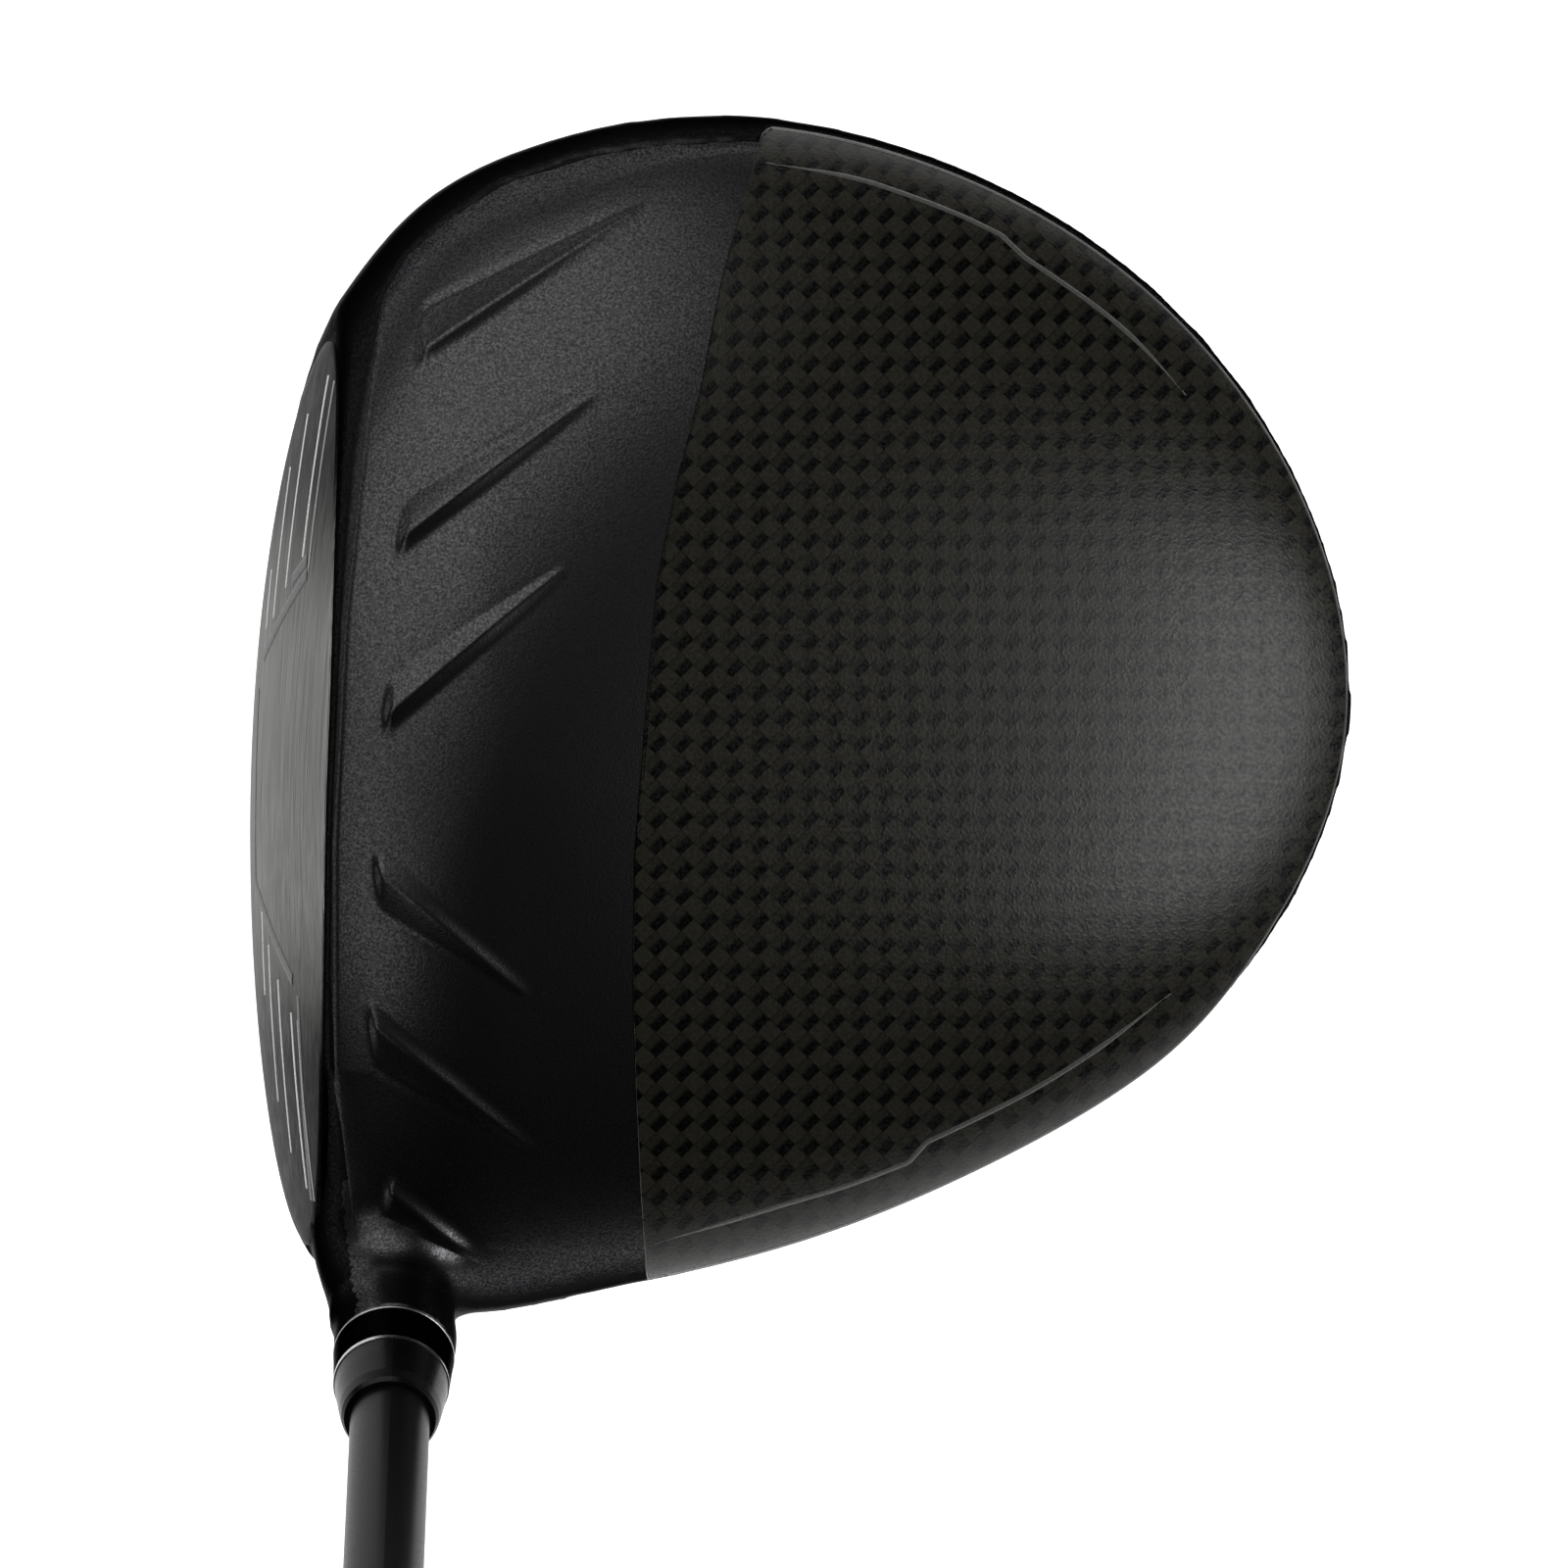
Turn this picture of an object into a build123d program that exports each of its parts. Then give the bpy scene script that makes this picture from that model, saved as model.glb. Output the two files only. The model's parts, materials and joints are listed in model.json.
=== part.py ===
from build123d import *
import math
import os

# Golf driver, right-handed, built as a club: hollow head, adjustable sleeve, shaft and grip.
# Frame: origin on the ground under the flat pad of the sole, +Z up, -X towards the target,
# +Y towards the toe, so that the shaft leans towards -Y.  Millimetres and degrees.

# Driving dimensions of the club
LOFT = 11.5
LIE = 58.0
SHAFT_CANT = 1.5
CLUB_LENGTH = 1162.0
TRUE_GAP = 0.15

# Driving dimensions of the head
CROWN_TOP = 60.0
CROWN_CENTRE = (-8.0, -3.0)
SOLE_CENTRE = (5.0, 0.0)
SOLE_PAD_SHARE = 0.3
RIM_HEIGHT_FRONT = 30.0
RIM_HEIGHT_REAR = 32.5
FACE_MIDDLE = (-32.1, 2.0, 31.0)
FACE_RADIUS = 305.0
FACE_THICKNESS = 3.0
FACE_EDGE = 1.1
WALL = 2.0
WRAP_THICKNESS = 0.8
BOND_THICKNESS = 0.2
LEDGE_WIDTH = 7.0
WRAP_REVEAL = 1.3
HEEL_OVERRUN = 2.5

# Plan of the widest line of the head, from the front round the heel, the rear and the toe.
# The front stretch lies ahead of the face, which cuts it off.
RIM_PLAN = [
    (-43.0, -18.0), (-38.0, -40.0), (-27.0, -58.0), (-12.0, -64.0), (1.4, -61.8),
    (27.2, -54.0), (48.5, -43.6), (66.8, -30.3), (79.0, -13.0), (83.5, 5.0), (76.4, 31.5),
    (52.4, 56.2), (31.7, 64.9), (10.0, 67.2), (-7.8, 63.1), (-20.2, 56.1), (-28.1, 46.1),
    (-36.5, 30.0), (-43.0, 8.0),
]
RIM_REAR_X = 83.5
RIM_FRONT_X = -43.0

# Rings of the dome, as shares of the way from its centre to the rim
SOLE_RINGS = [SOLE_PAD_SHARE, 0.45, 0.6, 0.74, 0.85, 0.93, 0.98]
CROWN_RINGS = [0.985, 0.95, 0.89, 0.8, 0.68, 0.54, 0.38, 0.2]

# Front edge of the carbon crown, heel to toe
WRAP_FRONT = [
    (9.4, -66.0), (8.1, -51.0), (6.4, -28.4), (6.1, -14.0), (6.4, 4.6), (9.0, 27.3),
    (12.3, 49.6), (16.5, 72.0),
]

# Wedge ridges on the front of the crown: front end of the crest, rear tip, width at the front
RIDGES = [
    ((-19.9, 45.2), (4.2, 58.2), 5.0, 1),
    ((-20.9, 24.6), (-0.1, 37.1), 5.0, 1),
    ((-21.9, 4.4), (-2.7, 17.7), 4.4, 1),
    ((-22.3, -16.7), (-4.6, -30.5), 5.2, -1),
    ((-22.2, -33.5), (-3.0, -47.7), 5.6, -1),
    ((-19.8, -52.0), (-6.8, -61.2), 4.0, -1),
]
RIDGE_HEIGHT = 1.3
RIDGE_ROOT = 1.6

# Hosel and everything on its axis, as distances up the axis from the mouth of the hosel
HOSEL_MOUTH = (-16.0, -68.0, 50.0)
HOSEL_RADIUS = 6.45
# the neck: how much its radius has grown at each depth under the mouth, and how far its
# centre moves to the rear and into the head for each mm of growth
NECK_GROWTH = [(0, 0), (6, 0.25), (12, 1.5), (18, 3.9), (24, 7.5), (30, 11.3)]
NECK_DRIFT = (0.75, 0.6)
HOSEL_BORE_RADIUS = 5.6
HOSEL_TUBE_RADIUS = 7.5
SHELF_TOP = -33.4
SHELF_BOTTOM = -36.0
RECESS_RADIUS = 5.0
SLEEVE_TOP = 5.3
SLEEVE_BOTTOM = -33.0
SLEEVE_RADIUS = 5.53
TRIM_RADIUS = 6.1
TRIM_LENGTH = 0.45
FERRULE_LENGTH = 6.4
FERRULE_END_RADIUS = 5.0
SEAL_DEPTH = -3.0
SEAL_WIRE = 0.35
SEAL_PROUD = 0.02
INSERT_TOP = -25.5
INSERT_RADIUS = 3.6
THREAD_RADIUS = 2.5
SCREW_RADIUS = 2.4
SCREW_HEAD_RADIUS = 4.1
SCREW_HEAD_LENGTH = 4.4
WASHER_THICKNESS = 1.5
CLIP_INNER_RADIUS = 3.4
CLIP_OUTER_RADIUS = 5.5
CLIP_THICKNESS = 0.9

# Shaft and grip
TIP_RADIUS = 4.25
TIP_WALL = 1.6
TIP_PARALLEL = 110.0
TIP_DEPTH = 29.3
BUTT_RADIUS = 7.6
BUTT_WALL = 1.0
PLUG_LENGTH = 8.0
GRIP_LENGTH = 270.0
GRIP_MOUTH_RADIUS = 9.0
GRIP_BUTT_RADIUS = 13.2
TAPE_THICKNESS = 0.3
CAP_LENGTH = 6.0
CAP_RADIUS = 14.0
VENT_RADIUS = 1.6

# Rear weight and its screw
WEIGHT_PLAN = (58.0, 6.0)
WEIGHT_TILT = 31.0
WEIGHT_RADIUS = 9.0
WEIGHT_THICKNESS = 4.6
WEIGHT_GAP = 0.3
BOSS_RADIUS = 11.5
BOSS_LENGTH = 12.5
BOSS_INSERT_RADIUS = 3.6
BOSS_INSERT_LENGTH = 5.0


def rear_share(x):
    """0 at the front of the rim, 1 at its rear."""
    return (x - RIM_FRONT_X) / (RIM_REAR_X - RIM_FRONT_X)


def rim_height(x):
    return RIM_HEIGHT_FRONT + (RIM_HEIGHT_REAR - RIM_HEIGHT_FRONT) * rear_share(x)


def crown_rise(share, x):
    """Height over the rim, as a share of the crown's, for a ring point whose rim is at x."""
    inner = 2.0 - 0.55 * rear_share(x)
    outer = 2.0 - 0.7 * rear_share(x)
    return (1 - share**inner) ** (1 / outer)


def sole_rise(share, x):
    """Height over the pad, as a share of the rim's height, for a ring point whose rim is at x."""
    inner = 4.0 - 2.5 * rear_share(x)
    outer = 2.2 - 1.2 * rear_share(x)
    pad = (1 - SOLE_PAD_SHARE**inner) ** (1 / outer)
    return (pad - (1 - share**inner) ** (1 / outer)) / pad


def towards(centre, point, share, inset):
    """A plan point on the way from centre to point, with the rim moved inwards by inset."""
    dx = point[0] - centre[0]
    dy = point[1] - centre[1]
    shrink = share * (1 - inset / math.hypot(dx, dy))
    return centre[0] + dx * shrink, centre[1] + dy * shrink


def crown_ring(share, inset):
    points = []
    for point in RIM_PLAN:
        x, y = towards(CROWN_CENTRE, point, share, inset)
        rim = rim_height(point[0])
        points.append((x, y, rim + (CROWN_TOP - inset - rim) * crown_rise(share, point[0])))
    return Wire([Edge.make_spline(points, periodic=True)])


def sole_ring(share, inset):
    points = []
    for point in RIM_PLAN:
        x, y = towards(SOLE_CENTRE, point, share, inset)
        rim = rim_height(point[0])
        points.append((x, y, inset + (rim - inset) * sole_rise(share, point[0])))
    return Wire([Edge.make_spline(points, periodic=True)])


def dome(inset=0.0):
    """The whole head as one closed form, before the face cuts it."""
    rings = [sole_ring(share, inset) for share in SOLE_RINGS]
    rings.append(crown_ring(1.0, inset))
    rings += [crown_ring(share, inset) for share in CROWN_RINGS]
    rings.append(Vertex(*CROWN_CENTRE, CROWN_TOP - inset))
    return Solid.make_loft(rings)


def face_ball(depth=0.0):
    """A ball whose surface is the face, or lies depth behind it."""
    tilt = math.radians(LOFT)
    centre = (
        FACE_MIDDLE[0] + FACE_RADIUS * math.cos(tilt),
        FACE_MIDDLE[1],
        FACE_MIDDLE[2] - FACE_RADIUS * math.sin(tilt),
    )
    return Pos(*centre) * Sphere(FACE_RADIUS - depth)


# Axes of the hosel and of the shaft
LEAN = math.radians(LIE)
HOSEL_UP = Vector(0, -math.cos(LEAN), math.sin(LEAN))
HOSEL = Plane(origin=HOSEL_MOUTH, x_dir=(1, 0, 0), z_dir=HOSEL_UP)
SHAFT_UP = HOSEL_UP * math.cos(math.radians(SHAFT_CANT)) + Vector(
    math.sin(math.radians(SHAFT_CANT)), 0, 0
)
SHAFT_FOOT = Vector(*HOSEL_MOUTH) + HOSEL_UP * SLEEVE_TOP
SHAFT = Plane(
    origin=SHAFT_FOOT,
    x_dir=Vector(0, SHAFT_UP.Z, -SHAFT_UP.Y).normalized(),
    z_dir=SHAFT_UP,
)
BUTT = CLUB_LENGTH - SHAFT_FOOT.Z / SHAFT_UP.Z


def turned(outline, plane):
    """A closed outline of (radius, distance along the axis), turned about a plane's normal."""
    section = make_face(Polyline(*[(r, 0, z) for r, z in outline], close=True))
    return plane * revolve(section, Axis.Z, 360)


def rod(radius, low, high, plane):
    return plane * (Pos(0, 0, low) * Cylinder(
        radius, high - low, align=(Align.CENTER, Align.CENTER, Align.MIN)
    ))


def tube(outer, inner, low, high, plane):
    return rod(outer, low, high, plane) - rod(inner, low, high, plane)


def star_socket(depth, at, plane):
    """A six-lobed socket that opens towards the plane's lower side."""
    socket = rod(1.6, at, at + depth, plane)
    for lobe in PolarLocations(1.75, 6):
        socket += plane * Pos(0, 0, at) * lobe * Cylinder(
            0.45, depth, align=(Align.CENTER, Align.CENTER, Align.MIN)
        )
    return socket


def hosel_flare():
    """The neck, which widens from the hosel into the heel and the crown."""
    rings = []
    for depth, growth in NECK_GROWTH:
        centre = HOSEL * Pos(NECK_DRIFT[0] * growth, NECK_DRIFT[1] * growth, -depth)
        rings.append((centre * Circle(HOSEL_RADIUS + growth)).wire())
    return Solid.make_loft(rings)


def surface_height(form, x, y, top):
    """Height where a plumb line at x, y meets a form."""
    plumb = Axis((x, y, 0), (0, 0, 1))
    heights = [point.Z for point, _ in form.find_intersection_points(plumb)]
    return max(heights) if top else min(heights)


def ridge(form, front, tip, width, side):
    """A wedge on the crown: steep on the side of the head's middle, gentle outside."""
    along = Vector(tip[0] - front[0], tip[1] - front[1], 0).normalized()
    outwards = Vector(-along.Y, along.X, 0) * side
    sections = []
    for share in (0.0, 0.35, 0.7, 1.0):
        left = 1 - 0.93 * share
        x = front[0] + (tip[0] - front[0]) * share
        y = front[1] + (tip[1] - front[1]) * share
        crest = Vector(x, y, surface_height(form, x, y, True))
        inner = crest - outwards * (0.25 * width * left)
        outer = crest + outwards * (width * left)
        low = surface_height(form, outer.X, outer.Y, True)
        sections.append(Wire.make_polygon([
            crest + Vector(0, 0, RIDGE_HEIGHT * left),
            Vector(outer.X, outer.Y, low),
            Vector(outer.X, outer.Y, low - RIDGE_ROOT),
            inner - Vector(0, 0, RIDGE_ROOT),
        ]))
    return Solid.make_loft(sections, ruled=True)


def wrap_prism(reveal):
    """The upright prism whose plan is the carbon crown's, moved inwards by reveal."""
    # At the heel the wrap reaches the rim; round the rear and the toe it stops short.
    plan = []
    for point in RIM_PLAN:
        edge = reveal if point[1] > -20 else reveal - WRAP_REVEAL - HEEL_OVERRUN
        plan.append(towards(CROWN_CENTRE, point, 1.0, edge))
    outline = make_face(Wire([Edge.make_spline(plan, periodic=True)]))
    ahead = Vector(reveal - WRAP_REVEAL, 0)
    front = Spline(*[Vector(*point) + ahead for point in WRAP_FRONT])
    behind = make_face(Wire([
        front.edge(),
        Edge.make_line(front @ 1, (120, 72)),
        Edge.make_line((120, 72), (120, -66)),
        Edge.make_line((120, -66), front @ 0),
    ]))
    return Pos(0, 0, RIM_HEIGHT_REAR + 1.0) * extrude(outline & behind, CROWN_TOP)


def make_head():
    """Casting, face insert, carbon crown and its bond, in that order."""
    full = dome()
    ball = face_ball()
    outer = full & ball
    wrap_zone = wrap_prism(WRAP_REVEAL)
    opening = wrap_prism(WRAP_REVEAL + LEDGE_WIDTH)
    under_wrap = dome(WRAP_THICKNESS)
    under_bond = dome(WRAP_THICKNESS + BOND_THICKNESS)
    hollow = dome(WALL)
    lid = full & wrap_zone
    wrap = lid - under_wrap
    bond = ((under_wrap - under_bond) & wrap_zone) - opening
    plate = dome(FACE_EDGE) & ball
    plate -= face_ball(FACE_THICKNESS)

    casting = outer + hosel_flare()
    for front, tip, width, side in RIDGES:
        casting += ridge(full, front, tip, width, side)
    cavity = hollow & face_ball(FACE_THICKNESS)
    cavity -= rod(HOSEL_TUBE_RADIUS, -70, 0, HOSEL)
    boss = rod(BOSS_RADIUS, -BOSS_LENGTH, 5, WEIGHT_SEAT)
    cavity -= boss
    casting -= cavity
    casting -= lid - under_bond
    casting -= full & opening
    casting -= plate
    casting -= rod(HOSEL_BORE_RADIUS, SHELF_TOP, 10, HOSEL)
    casting -= rod(THREAD_RADIUS + 0.6, -60, 0, HOSEL)
    casting -= rod(RECESS_RADIUS, -75, SHELF_BOTTOM, HOSEL)
    casting -= rod(CLIP_OUTER_RADIUS, CLIP_LOW, CLIP_LOW + CLIP_THICKNESS, HOSEL)
    casting -= rod(WEIGHT_RADIUS + WEIGHT_GAP, POCKET_FLOOR, 10, WEIGHT_SEAT)
    casting -= rod(BOSS_INSERT_RADIUS, POCKET_FLOOR - BOSS_INSERT_LENGTH, 10, WEIGHT_SEAT)
    return casting, plate, wrap, bond


# Levels on the hosel's axis that follow from the lengths above
WASHER_TOP = SHELF_BOTTOM - 0.3
WASHER_LOW = WASHER_TOP - WASHER_THICKNESS
SCREW_HEAD_TOP = WASHER_LOW - 0.1
SCREW_LOW = SCREW_HEAD_TOP - SCREW_HEAD_LENGTH
CLIP_LOW = SCREW_LOW - 0.3 - CLIP_THICKNESS
SEAL_MIDDLE = SLEEVE_RADIUS + SEAL_PROUD - SEAL_WIRE

# Seat of the rear weight: its normal points out of the sole
WEIGHT_HEIGHT = surface_height(dome(), *WEIGHT_PLAN, False)
WEIGHT_OUT = Vector(
    math.sin(math.radians(WEIGHT_TILT)), 0, -math.cos(math.radians(WEIGHT_TILT))
)
WEIGHT_SEAT = Plane(
    origin=(*WEIGHT_PLAN, WEIGHT_HEIGHT), x_dir=(0, 1, 0), z_dir=WEIGHT_OUT
)
WEIGHT_FACE = -0.6
POCKET_FLOOR = WEIGHT_FACE - WEIGHT_THICKNESS - 0.3


def make_sleeve():
    """Adapter: a collar above the hosel, a barrel inside it, a canted bore for the shaft."""
    outline = [
        (0, SLEEVE_BOTTOM), (SLEEVE_RADIUS - 0.5, SLEEVE_BOTTOM),
        (SLEEVE_RADIUS, SLEEVE_BOTTOM + 0.8), (SLEEVE_RADIUS, TRUE_GAP),
        (HOSEL_RADIUS, TRUE_GAP), (HOSEL_RADIUS - 0.05, 1.5),
        (TRIM_RADIUS + 0.1, SLEEVE_TOP), (0, SLEEVE_TOP),
    ]
    sleeve = turned(outline, HOSEL)
    sleeve -= rod(TIP_RADIUS, -TIP_DEPTH, 5, SHAFT)
    sleeve -= rod(INSERT_RADIUS, SLEEVE_BOTTOM, INSERT_TOP, HOSEL)
    return sleeve - tube(
        SLEEVE_RADIUS + 1, SEAL_MIDDLE - SEAL_WIRE, SEAL_DEPTH - SEAL_WIRE,
        SEAL_DEPTH + SEAL_WIRE, HOSEL,
    )


def make_seal():
    return HOSEL * Pos(0, 0, SEAL_DEPTH) * Torus(SEAL_MIDDLE, SEAL_WIRE)


def make_trim_ring():
    """Thin ring that also fills the wedge left by the cant of the shaft."""
    ring = tube(TRIM_RADIUS + 0.1, TIP_RADIUS, -0.5, TRIM_LENGTH, SHAFT)
    return ring - rod(2 * HOSEL_RADIUS, SLEEVE_BOTTOM, SLEEVE_TOP, HOSEL)


def make_ferrule():
    """Collar that tapers from the trim ring to a rounded shoulder at the shaft."""
    low = TRIM_LENGTH
    high = TRIM_LENGTH + FERRULE_LENGTH
    outline = [
        (TIP_RADIUS, low), (TRIM_RADIUS, low), (TRIM_RADIUS - 0.25, low + 2.0),
        (FERRULE_END_RADIUS + 0.45, high - 1.6), (FERRULE_END_RADIUS + 0.2, high - 0.5),
        (FERRULE_END_RADIUS - 0.1, high), (TIP_RADIUS, high),
    ]
    return turned(outline, SHAFT)


def make_screw(shank_low, shank_high, head_low, plane):
    """Socket screw with its head at the lower end of its axis."""
    screw = rod(SCREW_RADIUS, shank_low, shank_high, plane)
    screw += rod(SCREW_HEAD_RADIUS, head_low, shank_low, plane)
    return screw - star_socket(2.6, head_low, plane)


def make_washer():
    """Washer with a rounded upper face, so that it seats true on the shelf."""
    outline = [
        (SCREW_RADIUS + 0.3, WASHER_LOW), (RECESS_RADIUS - 0.4, WASHER_LOW),
        (RECESS_RADIUS - 0.4, WASHER_TOP - 0.7), (RECESS_RADIUS - 1.1, WASHER_TOP),
        (SCREW_RADIUS + 0.3, WASHER_TOP),
    ]
    return turned(outline, HOSEL)


def make_clip():
    """Open spring ring in the groove under the screw's head."""
    ring = tube(
        CLIP_OUTER_RADIUS, CLIP_INNER_RADIUS, CLIP_LOW, CLIP_LOW + CLIP_THICKNESS, HOSEL
    )
    return ring - HOSEL * Pos(0, CLIP_OUTER_RADIUS, CLIP_LOW) * Box(3, 6, 4)


def shaft_radius(distance):
    """Outer radius of the shaft at a distance up its axis from the top of the sleeve."""
    share = max(0.0, (distance - TIP_PARALLEL) / (BUTT - 10.0 - TIP_PARALLEL))
    return TIP_RADIUS + (BUTT_RADIUS - TIP_RADIUS) * min(share, 1.0)


def make_shaft():
    top = BUTT - CAP_LENGTH
    outline = [
        (TIP_RADIUS, -TIP_DEPTH), (TIP_RADIUS, TIP_PARALLEL), (shaft_radius(top), top),
        (shaft_radius(top) - BUTT_WALL, top), (TIP_RADIUS - TIP_WALL, TIP_PARALLEL),
        (TIP_RADIUS - TIP_WALL, -TIP_DEPTH),
    ]
    return turned(outline, SHAFT)


def make_grip_sleeve(inner_gap, outer_gap, low_radius, high_radius):
    """A sleeve over the shaft's butt; a radius of None follows the shaft at outer_gap."""
    low = BUTT - GRIP_LENGTH
    high = BUTT - CAP_LENGTH
    outline = [
        (shaft_radius(low) + inner_gap, low),
        (low_radius or shaft_radius(low) + outer_gap, low),
        (high_radius or shaft_radius(high) + outer_gap, high),
        (shaft_radius(high) + inner_gap, high),
    ]
    return turned(outline, SHAFT)


def make_cap():
    """Butt cap with a domed end and a vent hole."""
    low = BUTT - CAP_LENGTH
    outline = [
        (VENT_RADIUS, low), (GRIP_BUTT_RADIUS, low), (CAP_RADIUS, low + 2.0),
        (CAP_RADIUS, BUTT - 2.2), (CAP_RADIUS - 1.2, BUTT - 0.8), (CAP_RADIUS - 4.0, BUTT),
        (VENT_RADIUS, BUTT),
    ]
    return turned(outline, SHAFT)


def make_weight():
    """Round tungsten weight with a counterbore for its screw."""
    low = WEIGHT_FACE - WEIGHT_THICKNESS
    weight = rod(WEIGHT_RADIUS, low, WEIGHT_FACE, WEIGHT_SEAT)
    weight = chamfer(weight.edges().group_by(Axis(WEIGHT_SEAT.origin, WEIGHT_OUT))[-1], 0.4)
    weight -= rod(SCREW_RADIUS + 0.3, low, WEIGHT_FACE, WEIGHT_SEAT)
    return weight - rod(SCREW_HEAD_RADIUS + 0.3, WEIGHT_FACE - 3.3, WEIGHT_FACE, WEIGHT_SEAT)


def make_weight_screw():
    """Cap screw through the weight; its head faces out of the sole."""
    head_low = WEIGHT_FACE - 3.2
    screw = rod(SCREW_RADIUS, POCKET_FLOOR - BOSS_INSERT_LENGTH + 0.5, head_low, WEIGHT_SEAT)
    screw += rod(SCREW_HEAD_RADIUS, head_low, WEIGHT_FACE - 0.2, WEIGHT_SEAT)
    return screw - star_socket(2.2, WEIGHT_FACE - 2.4, WEIGHT_SEAT)


head_body, face_insert, crown_wrap, crown_bond = make_head()
parts = {
    "head_body": head_body,
    "face_insert": face_insert,
    "crown_wrap": crown_wrap,
    "crown_bond": crown_bond,
    "weight_thread_insert": tube(
        BOSS_INSERT_RADIUS, THREAD_RADIUS, POCKET_FLOOR - BOSS_INSERT_LENGTH,
        POCKET_FLOOR, WEIGHT_SEAT,
    ),
    "retaining_clip": make_clip(),
    "captive_washer": make_washer(),
    "hosel_screw": make_screw(SCREW_HEAD_TOP, INSERT_TOP - 1.5, SCREW_LOW, HOSEL),
    "rear_weight": make_weight(),
    "weight_screw": make_weight_screw(),
    "hosel_sleeve": make_sleeve(),
    "sleeve_seal_ring": make_seal(),
    "sleeve_thread_insert": tube(
        INSERT_RADIUS, THREAD_RADIUS, SLEEVE_BOTTOM, INSERT_TOP, HOSEL
    ),
    "trim_ring": make_trim_ring(),
    "ferrule": make_ferrule(),
    "shaft": make_shaft(),
    "tip_plug": rod(TIP_RADIUS - TIP_WALL, -TIP_DEPTH, PLUG_LENGTH - TIP_DEPTH, SHAFT),
    "grip_tape": make_grip_sleeve(0, TAPE_THICKNESS, None, None),
    "grip": make_grip_sleeve(TAPE_THICKNESS, 0, GRIP_MOUTH_RADIUS, GRIP_BUTT_RADIUS),
    "grip_cap": make_cap(),
}

os.makedirs("parts", exist_ok=True)
for name, shape in parts.items():
    export_step(shape, "parts/" + name + ".step")

print("shaft axis", SHAFT_UP, "foot", SHAFT_FOOT, "butt at", BUTT)
print("butt end", SHAFT_FOOT + SHAFT_UP * BUTT)
print("weight seat", WEIGHT_SEAT.origin, WEIGHT_OUT)
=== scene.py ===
# %% [markdown]
# # Golf driver
# A driver is the longest club in the bag: a hollow metal head with a carbon crown, an
# adjustable sleeve that joins the head to a graphite shaft, and a rubber grip.  The CAD frame
# holds the sizes, the joints and the collision.  This lesson builds the looks round it: the
# casting with its ridges, the brushed face, the woven crown, and the finishes.

# %% Load the frame
import json
import math

import bmesh
import bpy
import numpy as np
from mathutils import Matrix, Vector
from mathutils.bvhtree import BVHTree


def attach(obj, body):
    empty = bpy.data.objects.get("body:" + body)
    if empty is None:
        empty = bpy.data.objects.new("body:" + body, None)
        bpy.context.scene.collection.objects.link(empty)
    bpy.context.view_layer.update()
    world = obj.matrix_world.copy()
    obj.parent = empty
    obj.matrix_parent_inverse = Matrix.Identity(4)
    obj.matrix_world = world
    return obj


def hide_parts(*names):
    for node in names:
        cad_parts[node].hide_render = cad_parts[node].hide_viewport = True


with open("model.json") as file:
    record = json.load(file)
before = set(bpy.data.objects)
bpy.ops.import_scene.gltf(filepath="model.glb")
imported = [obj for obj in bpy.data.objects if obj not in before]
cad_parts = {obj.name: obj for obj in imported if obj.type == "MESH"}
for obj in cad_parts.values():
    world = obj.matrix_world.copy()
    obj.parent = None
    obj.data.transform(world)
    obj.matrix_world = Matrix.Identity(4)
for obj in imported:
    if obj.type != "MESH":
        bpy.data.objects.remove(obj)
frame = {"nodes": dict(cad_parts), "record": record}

for node in frame["nodes"].values():
    node.data.update()
bpy.context.view_layer.update()
MM = 0.001
print("nodes:", sorted(frame["nodes"]))

# %% [markdown]
# ## Sizes
# All lengths are in millimetres here and become metres when a mesh is finished, because a
# maker thinks of a club in millimetres.  The frame is the CAD's: origin on the ground under
# the sole, +Z up, -X towards the target, +Y towards the toe.

# %% Driving sizes of the head
LOFT = math.radians(11.5)
LIE = math.radians(58.0)
CANT = math.radians(1.5)
CROWN_TOP = 60.0
CROWN_CENTRE = np.array([-8.0, -3.0])
SOLE_CENTRE = np.array([5.0, 0.0])
PAD_SHARE = 0.3
RIM_HEIGHT_FRONT = 30.0
RIM_HEIGHT_REAR = 32.5
FACE_MIDDLE = np.array([-32.6, 2.0, 31.0])
FACE_RADIUS = 305.0
RIM_PLAN = np.array([
    (-43.0, -18.0), (-38.0, -40.0), (-27.0, -58.0), (-12.0, -64.0), (1.4, -61.8),
    (27.2, -54.0), (48.5, -43.6), (66.8, -30.3), (79.0, -13.0), (83.5, 5.0), (76.4, 31.5),
    (52.4, 56.2), (31.7, 64.9), (10.0, 67.2), (-7.8, 63.1), (-20.2, 56.1), (-28.1, 46.1),
    (-36.5, 30.0), (-43.0, 8.0),
])
FACE_CENTRE = FACE_MIDDLE + FACE_RADIUS * np.array([math.cos(LOFT), 0, -math.sin(LOFT)])
HOSEL_MOUTH = np.array([-16.0, -68.0, 50.0])
HOSEL_RADIUS = 6.45
HOSEL_UP = np.array([0.0, -math.cos(LIE), math.sin(LIE)])
SHAFT_FOOT = HOSEL_MOUTH + 5.3 * HOSEL_UP
SHAFT_UP = HOSEL_UP * math.cos(CANT) + np.array([math.sin(CANT), 0, 0])
print("centre of the ball that shapes the face:", FACE_CENTRE.round(1))

# %% [markdown]
# ## The form of the head
# A driver's head is a dome over a shallow bowl, and both share one rim.  The rim is a smooth
# closed curve through a few plan points.  Over it the crown follows a superellipse, round and
# high at the front and flatter towards the rear, and the sole does the same below.  A formula
# is used, not a sculpt, so that every piece on the head can ask for the same height.


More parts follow.
